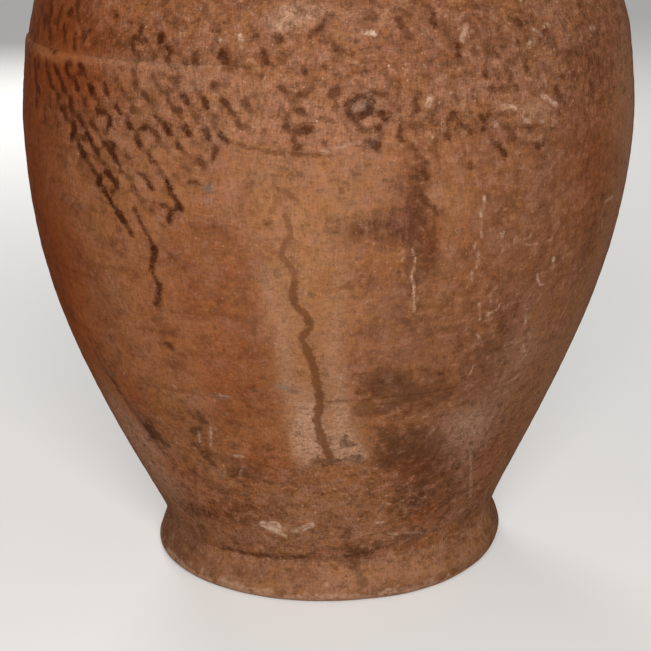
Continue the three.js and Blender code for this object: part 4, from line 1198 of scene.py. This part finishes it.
def sway(tree, value, reach, low=0.3):
    """A noise turned into a number between minus and plus the reach."""
    return ramp(tree, value, low, 1 - low, -reach, reach)


def product(tree, first, second):
    return put(tree, "ShaderNodeMath", {0: first, 1: second}, operation="MULTIPLY")


def total(tree, first, second):
    return put(tree, "ShaderNodeMath", {0: first, 1: second}, operation="ADD")


def stored(tree, name):
    return put(tree, "ShaderNodeAttribute", {}, out="Fac", attribute_name=name)


def over(tree, share, below, above):
    """One colour laid over another by a share from 0 to 1."""
    return put(tree, "ShaderNodeMix", {0: share, 6: below, 7: above}, out=2, data_type="RGBA")


def film(tree, below, above, value, low, high, most, part=None):
    """One colour laid over another where a value goes from low to high, and only on the part given."""
    share = ramp(tree, value, low, high, 0, most)
    return over(tree, share if part is None else product(tree, part, share), below, above)


def tinted(tree, share, below, tint):
    """A colour multiplied by a tint, by a share from 0 to 1."""
    inputs = {0: share, 6: below, 7: tint}
    return put(tree, "ShaderNodeMix", inputs, out=2, data_type="RGBA", blend_type="MULTIPLY")


print("helpers ready")

# %% Noise at every scale
# Each noise has the size of its features in millimetres, how much finer it is upwards, its detail and its
# roughness.
NOISES = {
    "patch": (60, 1, 4, 0.55), "cloud": (14, 1, 6, 0.58), "haze": (23, 0.7, 6, 0.6), "mottle": (6, 1.3, 6, 0.72),
    "speck": (2.8, 1.5, 5, 0.75), "grain": (0.8, 1, 2, 0.55), "fleck": (1.9, 1, 2, 0.55),
    "fibre": (1, 0.25, 3, 0.55), "weft": (3.2, 4, 3, 0.55), "streak": (3, 0.15, 4, 0.55),
    "wiped": (40, 10, 5, 0.55), "washed": (7, 0.05, 4, 0.55), "hue": (9, 1, 6, 0.66),
}
FOOT_TOP = 34 * MM
DAMP_TOP = 135 * MM
DAMP_FOOT = 50 * MM
SLIP_EDGE = 236 * MM
SLIP_FULL = 250 * MM


def skin_of(tree):
    """The noises of the clay by name, and the shares that depend on the height and on where a hand wiped."""
    where = put(tree, "ShaderNodeTexCoord", {}, out="Object")
    skin = SimpleNamespace(height=put(tree, "ShaderNodeSeparateXYZ", {0: where}, out="Z"))
    for name, (size, upwards, detail, roughness) in NOISES.items():
        place = put(tree, "ShaderNodeVectorMath", {0: where, 1: (1, 1, upwards)}, operation="MULTIPLY")
        inputs = {"Vector": place, "Scale": 1 / (size * MM), "Detail": detail, "Roughness": roughness}
        setattr(skin, name, put(tree, "ShaderNodeTexNoise", inputs, out="Color" if name == "hue" else 0))
    skin.pinker = put(tree, "ShaderNodeSeparateColor", {0: skin.hue}, out="Green")
    skin.browner = put(tree, "ShaderNodeSeparateColor", {0: skin.hue}, out="Blue")
    skin.calm = ramp(tree, stored(tree, "ruddy_and_painted_shade"), 0.4, 1, 1, 0.5)
    skin.smooth = product(tree, skin.calm, ramp(tree, stored(tree, "calm"), 0, 1, 1, 0.5))
    skin.slip = product(tree, ramp(tree, skin.height, SLIP_EDGE, SLIP_FULL, 0.7, 1), skin.calm)
    skin.low_down = ramp(tree, skin.height, DAMP_TOP, DAMP_FOOT)
    skin.rinsed = product(tree, skin.low_down, ramp(tree, skin.height, FOOT_TOP, DAMP_FOOT))
    rough = total(tree, ramp(tree, skin.height, SLIP_EDGE, SLIP_FULL, 0.76, 1.16), product(tree, skin.low_down, 0.4))
    rough = product(tree, rough, ramp(tree, skin.height, 0, FOOT_TOP, 0.55, 1))
    skin.broken = product(tree, rough, skin.smooth)
    skin.worn = product(tree, rough, skin.calm)
    return skin


def frays_of(tree, skin):
    """The numbers that roughen the edges of spots and strokes."""
    skin.fray = total(tree, sway(tree, skin.mottle, 0.4), sway(tree, skin.cloud, 0.35))
    skin.soft_fray = sway(tree, skin.mottle, 0.45)
    skin.streaky = total(tree, sway(tree, skin.streak, 0.4), sway(tree, skin.mottle, 0.2))
    skin.fine = total(tree, sway(tree, skin.speck, 0.22, 0.25), sway(tree, skin.grain, 0.10, 0.25))
    skin.edge = total(tree, skin.fine, sway(tree, skin.mottle, 0.12, 0.25))


print("noises:", ", ".join(NOISES))

# %% [markdown]
# ## Colour in layers
# The colour is laid up as the jug got it: first the fired clay, then the films of use and weather, then wear,
# which breaks them up, and last the strokes. Some of the films and spots, the pale foot edge and a line in the
# foot crease are painted light and shade besides. Each layer is a function that takes the colour so far and
# returns the next, so a layer can be left out to see what it does.

# %% The fired clay
BLOOM_AND_PAINTED_LIGHT = (0.33, 0.150, 0.082, 1)
DULL = (0.20, 0.080, 0.039, 1)
BROWN = (0.105, 0.036, 0.012, 1)


def fired(tree, skin, light, middle, dark):
    """The bare clay: kiln clouds, a pale pink haze, damp low down, and the streaks of wiping and washing."""
    colour = over(tree, ramp(tree, skin.patch, 0.38, 0.62), middle, light)
    colour = over(tree, stored(tree, "dull"), colour, DULL)
    colour = film(tree, colour, dark, skin.cloud, 0.46, 0.68, 0.7, skin.smooth)
    colour = film(tree, colour, BLOOM_AND_PAINTED_LIGHT, skin.haze, 0.50, 0.70, 0.6)
    colour = film(tree, colour, BROWN, skin.haze, 0.50, 0.36, 0.6, skin.low_down)
    colour = film(tree, colour, dark, skin.wiped, 0.48, 0.72, 0.45)
    return film(tree, colour, light, skin.washed, 0.52, 0.74, 0.35)


print("damp darkens the clay below", round(DAMP_TOP / MM), "mm")

# %% The films of use and weather
DUST_AND_PAINTED_LIGHT = (0.40, 0.195, 0.085, 1)
CHALK_AND_PAINTED_LIGHT = (0.48, 0.27, 0.168, 1)
PINK = (0.31, 0.135, 0.082, 1)
GOLD = (0.31, 0.125, 0.043, 1)
UMBER = (0.165, 0.065, 0.027, 1)
SOOT_AND_PAINTED_SHADE = (0.105, 0.042, 0.018, 1)
ASH = (0.19, 0.16, 0.13, 1)


def blotched(tree, layer, fray, most):
    """The share of a soft layer that shows, broken up by noise."""
    frayed = total(tree, stored(tree, layer), product(tree, fray, stored(tree, layer)))
    return ramp(tree, frayed, 0.02, 1.0, 0, most)


def filmed(tree, skin, colour):
    """The soft spots, some of them painted highlight and shade, with pink, golden and brown tinges between them."""
    # Dust, bloom and chalk also lay a painted highlight along the ridge, painted sheen down the right side and
    # painted light on the lower left; soot lays painted shadow above the ridge.
    colour = over(tree, blotched(tree, "dust_and_painted_light", skin.fray, 0.66), colour, DUST_AND_PAINTED_LIGHT)
    colour = over(tree, blotched(tree, "bloom_and_painted_light", skin.fray, 0.75), colour, BLOOM_AND_PAINTED_LIGHT)
    colour = film(tree, colour, PINK, skin.pinker, 0.52, 0.62, 0.55, skin.smooth)
    colour = film(tree, colour, GOLD, skin.pinker, 0.48, 0.38, 0.55, skin.calm)
    colour = film(tree, colour, UMBER, skin.browner, 0.54, 0.65, 0.5, skin.slip)
    colour = over(tree, blotched(tree, "chalk_and_painted_light", skin.soft_fray, 0.85), colour, CHALK_AND_PAINTED_LIGHT)
    colour = over(tree, blotched(tree, "soot_and_painted_shade", skin.soft_fray, 0.9), colour, SOOT_AND_PAINTED_SHADE)
    return over(tree, blotched(tree, "ash", skin.fray, 0.7), colour, ASH)


print("soft layers on the clay:", ", ".join(soft_layers))

# %% The worn skin
PALE_CLAY = (0.37, 0.18, 0.105, 1)
LIME = (0.68, 0.45, 0.31, 1)
SHADE = (0.56, 0.51, 0.50, 1)
# The pale foot edge is partly wear and partly a painted highlight against the shade where the foot meets the floor.
FOOT_EDGE = 8 * MM
FOOT_RUBBED_AND_PAINTED_LIGHT = 3 * MM


def worn(tree, skin, colour):
    """Rinsed streaks low down, mottling, a pale foot edge that is worn and also painted light, flecks, the tooth of
    the sand, and spots that darken the clay, some of them painted shade.
    """
    for value, part, browns, pales in (
            (skin.streak, skin.rinsed, (0.46, 0.32, 0.35), (0.54, 0.68, 0.35)),
            (skin.mottle, skin.broken, (0.52, 0.61, 0.5), (0.47, 0.38, 0.6)),
            (skin.speck, skin.broken, (0.55, 0.62, 0.5), (0.45, 0.38, 0.5))):
        colour = film(tree, colour, BROWN, value, *browns, part)
        colour = film(tree, colour, PALE_CLAY, value, *pales, part)
    # Painted highlight, partly wear: the pale foot edge lightens the shade where the foot meets the floor.
    rubbed_and_painted_light_edge = total(tree, skin.height, sway(tree, skin.mottle, FOOT_RUBBED_AND_PAINTED_LIGHT))
    colour = film(tree, colour, CHALK_AND_PAINTED_LIGHT, rubbed_and_painted_light_edge, FOOT_EDGE, FOOT_RUBBED_AND_PAINTED_LIGHT, 0.85)
    colour = film(tree, colour, LIME, skin.fleck, 0.67, 0.73, 0.3, skin.worn)
    colour = film(tree, colour, BROWN, skin.fleck, 0.34, 0.28, 0.45, skin.worn)
    tooth = total(tree, sway(tree, skin.speck, 0.26, 0.34), sway(tree, skin.fibre, 0.15))
    tooth = total(tree, tooth, sway(tree, skin.weft, 0.09))
    tooth = total(tree, product(tree, skin.worn, tooth), 1.0)
    colour = put(tree, "ShaderNodeVectorMath", {0: colour, "Scale": tooth}, operation="SCALE")
    return tinted(tree, blotched(tree, "shade", skin.streaky, 1.0), colour, SHADE)


print("the foot is rubbed pale up to", round(FOOT_EDGE / MM), "mm")

# %% The strokes
RUN = (0.135, 0.045, 0.014, 1)
TAR = (0.047, 0.009, 0.0015, 1)
RUDDY_AND_PAINTED_SHADE = (1.0, 0.63, 0.36, 1)


def ragged(tree, layer, fray, low, high):
    """The share of a stroke layer that shows, with an edge frayed by noise."""
    frayed = total(tree, stored(tree, layer), fray)
    return product(tree, ramp(tree, frayed, low, high), stored(tree, layer + "_force"))


def marked(tree, skin, colour):
    """The strokes over the worn skin, and apart from them the share of the dabs, which stand out a little."""
    run = product(tree, ragged(tree, "run", skin.fine, 0.32, 0.62), 0.8)
    colour = over(tree, run, colour, RUN)
    colour = over(tree, ragged(tree, "stain", skin.fray, 0.2, 0.8), colour, SOOT_AND_PAINTED_SHADE)
    link = product(tree, ragged(tree, "link", skin.edge, 0.24, 0.58), ramp(tree, skin.mottle, 0.40, 0.56, 0.4, 0.9))
    colour = over(tree, link, colour, BROWN)
    smudge = product(tree, ragged(tree, "dab", skin.edge, 0.10, 0.50), 0.5)
    colour = over(tree, smudge, colour, BROWN)
    # The dab layer also carries the painted shade in the foot crease.
    dab = product(tree, ragged(tree, "dab", skin.edge, 0.38, 0.64), stored(tree, "dab_force"))
    dab = product(tree, dab, ramp(tree, skin.mottle, 0.36, 0.54, 0.65, 1))
    dab = product(tree, dab, ramp(tree, skin.speck, 0.62, 0.46, 0.65, 1))
    colour = over(tree, product(tree, dab, 0.95), colour, TAR)
    # The ruddy tint also paints shade down the left side of the belly.
    colour = tinted(tree, stored(tree, "ruddy_and_painted_shade"), colour, RUDDY_AND_PAINTED_SHADE)
    flaked = ramp(tree, total(tree, skin.speck, product(tree, skin.fleck, 0.5)), 0.66, 0.82, 1, 0.2)
    lime = product(tree, ragged(tree, "lime", product(tree, skin.edge, 0.65), 0.34, 0.62), flaked)
    return over(tree, lime, colour, LIME), dab


print("stroke layers on the clay:", ", ".join(layers))

# %% One clay for each slot
BUMP_HEIGHT = 0.8 * MM
BUMP_STRENGTH = 0.6
MATT = 0.05


def clay(name, light, middle, dark):
    """A fired clay material in three tones, with the marks that its piece carries."""
    material = bpy.data.materials.new(name)
    tree = cleared(material)
    skin = skin_of(tree)
    frays_of(tree, skin)
    colour = fired(tree, skin, light, middle, dark)
    colour, dab = marked(tree, skin, worn(tree, skin, filmed(tree, skin, colour)))
    bumps = total(tree, product(tree, skin.speck, 0.35), product(tree, skin.grain, 0.2))
    bumps = total(tree, product(tree, skin.mottle, 0.5), bumps)
    bumps = total(tree, bumps, product(tree, dab, 0.25))
    normal = put(tree, "ShaderNodeBump", {"Strength": BUMP_STRENGTH, "Distance": BUMP_HEIGHT, "Height": bumps})
    roughness = total(tree, ramp(tree, skin.grain, 0.3, 0.7, 0.82, 0.98), product(tree, dab, -0.2))
    surface = put(tree, "ShaderNodeBsdfPrincipled", {
        "Base Color": colour, "Roughness": roughness, "Normal": normal, "Specular IOR Level": MATT})
    put(tree, "ShaderNodeOutputMaterial", {"Surface": surface})
    return material


tones = {
    "floor_clay": ((0.31, 0.13, 0.055, 1), (0.24, 0.09, 0.035, 1), (0.14, 0.05, 0.020, 1)),
    "foot_clay": ((0.33, 0.15, 0.070, 1), (0.25, 0.10, 0.044, 1), (0.14, 0.052, 0.022, 1)),
    "wall_clay": ((0.32, 0.12, 0.042, 1), (0.245, 0.082, 0.028, 1), (0.14, 0.046, 0.017, 1)),
    "painted_clay": ((0.33, 0.125, 0.048, 1), (0.25, 0.086, 0.033, 1), (0.14, 0.047, 0.018, 1)),
    "rim_clay": ((0.35, 0.155, 0.07, 1), (0.265, 0.10, 0.042, 1), (0.15, 0.055, 0.023, 1)),
    "handle_clay": ((0.32, 0.13, 0.050, 1), (0.245, 0.088, 0.034, 1), (0.14, 0.05, 0.020, 1)),
}
materials = {name: clay(name, *three) for name, three in tones.items()}
print("clay materials:", ", ".join(materials))

# %% [markdown]
# ## Pieces in the frame
# Each mesh becomes an object at the origin. It rides on the one body of the jug, takes the place of its node,
# which is hidden, and takes that node's material slot from the record.

# %% Put the pieces in the frame
NAMES = {
    "base_disc": "jug_floor", "foot_ring": "rolled_foot", "lower_wall": "lower_lift", "belly_wall": "belly_lift",
    "shoulder_wall": "shoulder_lift", "neck": "flared_neck", "rim_coil": "rounded_rim",
    "handle_left": "left_strap", "handle_right": "right_strap",
}
SLOTS = {row["node"]: row["material_slot"] for row in frame["record"]["subparts"]}
for node, mesh in {**turned, **handles}.items():
    piece = linked(NAMES[node], mesh)
    mesh.materials.clear()
    mesh.materials.append(materials[SLOTS[node]])
    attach(piece, "root")
    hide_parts(node)
    triangles = sum(len(face.vertices) - 2 for face in mesh.polygons)
    print(NAMES[node], "stands for", node, "with", triangles, "triangles")

# %% [markdown]
# ## Floor, light and camera
# A pale floor takes the shadow. One large soft lamp stands near the camera, so that the wall darkens towards both
# sides. A weaker one behind lights the back, and the world fills the shadows faintly. The camera sees a pale
# background through the Light Path node, which adds no light to the jug.

# %% Floor
FLOOR_SIZE = 8
PALE = (0.80, 0.79, 0.77, 1)
SHADED = (0.58, 0.56, 0.54, 1)
GLOW = 0.34


def looked_at(tree):
    """1 for a ray from the camera, a mirror or glass, and 0 for the light that falls on the jug."""
    rays = tree.nodes.new("ShaderNodeLightPath").outputs
    return total(tree, rays["Is Camera Ray"], total(tree, rays["Is Glossy Ray"], rays["Is Transmission Ray"]))


bm = bmesh.new()
bmesh.ops.create_grid(bm, x_segments=1, y_segments=1, size=FLOOR_SIZE)
floor_mesh = bpy.data.meshes.new("floor")
bm.to_mesh(floor_mesh)
bm.free()
floor = linked("floor", floor_mesh)
plaster = bpy.data.materials.new("pale_floor")
tree = cleared(plaster)
seen = looked_at(tree)
matt = put(tree, "ShaderNodeBsdfDiffuse", {"Color": over(tree, seen, SHADED, PALE)})
glow = put(tree, "ShaderNodeEmission", {"Color": PALE, "Strength": product(tree, seen, GLOW)})
put(tree, "ShaderNodeOutputMaterial", {"Surface": put(tree, "ShaderNodeAddShader", {0: matt, 1: glow})})
floor_mesh.materials.append(plaster)
print("floor of", 2 * FLOOR_SIZE, "m")

# %% World
FILL = 0.12
WHITE = (1, 1, 1, 1)
BACKDROP = (0.86, 0.86, 0.85, 1)
world = bpy.data.worlds.new("studio")
bpy.context.scene.world = world
tree = cleared(world)
fill = put(tree, "ShaderNodeBackground", {"Color": WHITE, "Strength": FILL})
backdrop = put(tree, "ShaderNodeBackground", {"Color": BACKDROP, "Strength": 1})
sky = put(tree, "ShaderNodeMixShader", {0: looked_at(tree), 1: fill, 2: backdrop})
put(tree, "ShaderNodeOutputWorld", {"Surface": sky})
print("fill light of", FILL)

# %% Lamps and camera
LAMP_AT = Vector((0.06, -1.45, 0.72))
LAMP_SIZE = 0.7
LAMP_POWER = 20.4
BACK_LAMP_AT = Vector((-0.5, 1.6, 0.9))
BACK_LAMP_POWER = 12
AIM = Vector((0, 0, 0.2))
EYE_AT = (-1.3 * MM, -908 * MM, 387 * MM)
EYE_PITCH = math.radians(16.5)
EYE_LENS = 100


def soft_lamp(name, place, power):
    """A round area lamp that looks at the jug."""
    data = bpy.data.lights.new(name, "AREA")
    data.shape = "DISK"
    data.size = LAMP_SIZE
    data.energy = power
    lamp = linked(name, data)
    lamp.location = place
    lamp.rotation_euler = (AIM - place).to_track_quat("-Z", "Y").to_euler()


soft_lamp("soft_lamp", LAMP_AT, LAMP_POWER)
soft_lamp("back_lamp", BACK_LAMP_AT, BACK_LAMP_POWER)

eye_data = bpy.data.cameras.new("eye")
eye_data.lens = EYE_LENS
eye = linked("eye", eye_data)
eye.location = EYE_AT
eye.rotation_euler = (math.pi / 2 - EYE_PITCH, 0, 0)
bpy.context.scene.camera = eye
bpy.context.scene.view_settings.view_transform = "Standard"
print("the front lamp is", round((AIM - LAMP_AT).length, 2), "m from the jug")
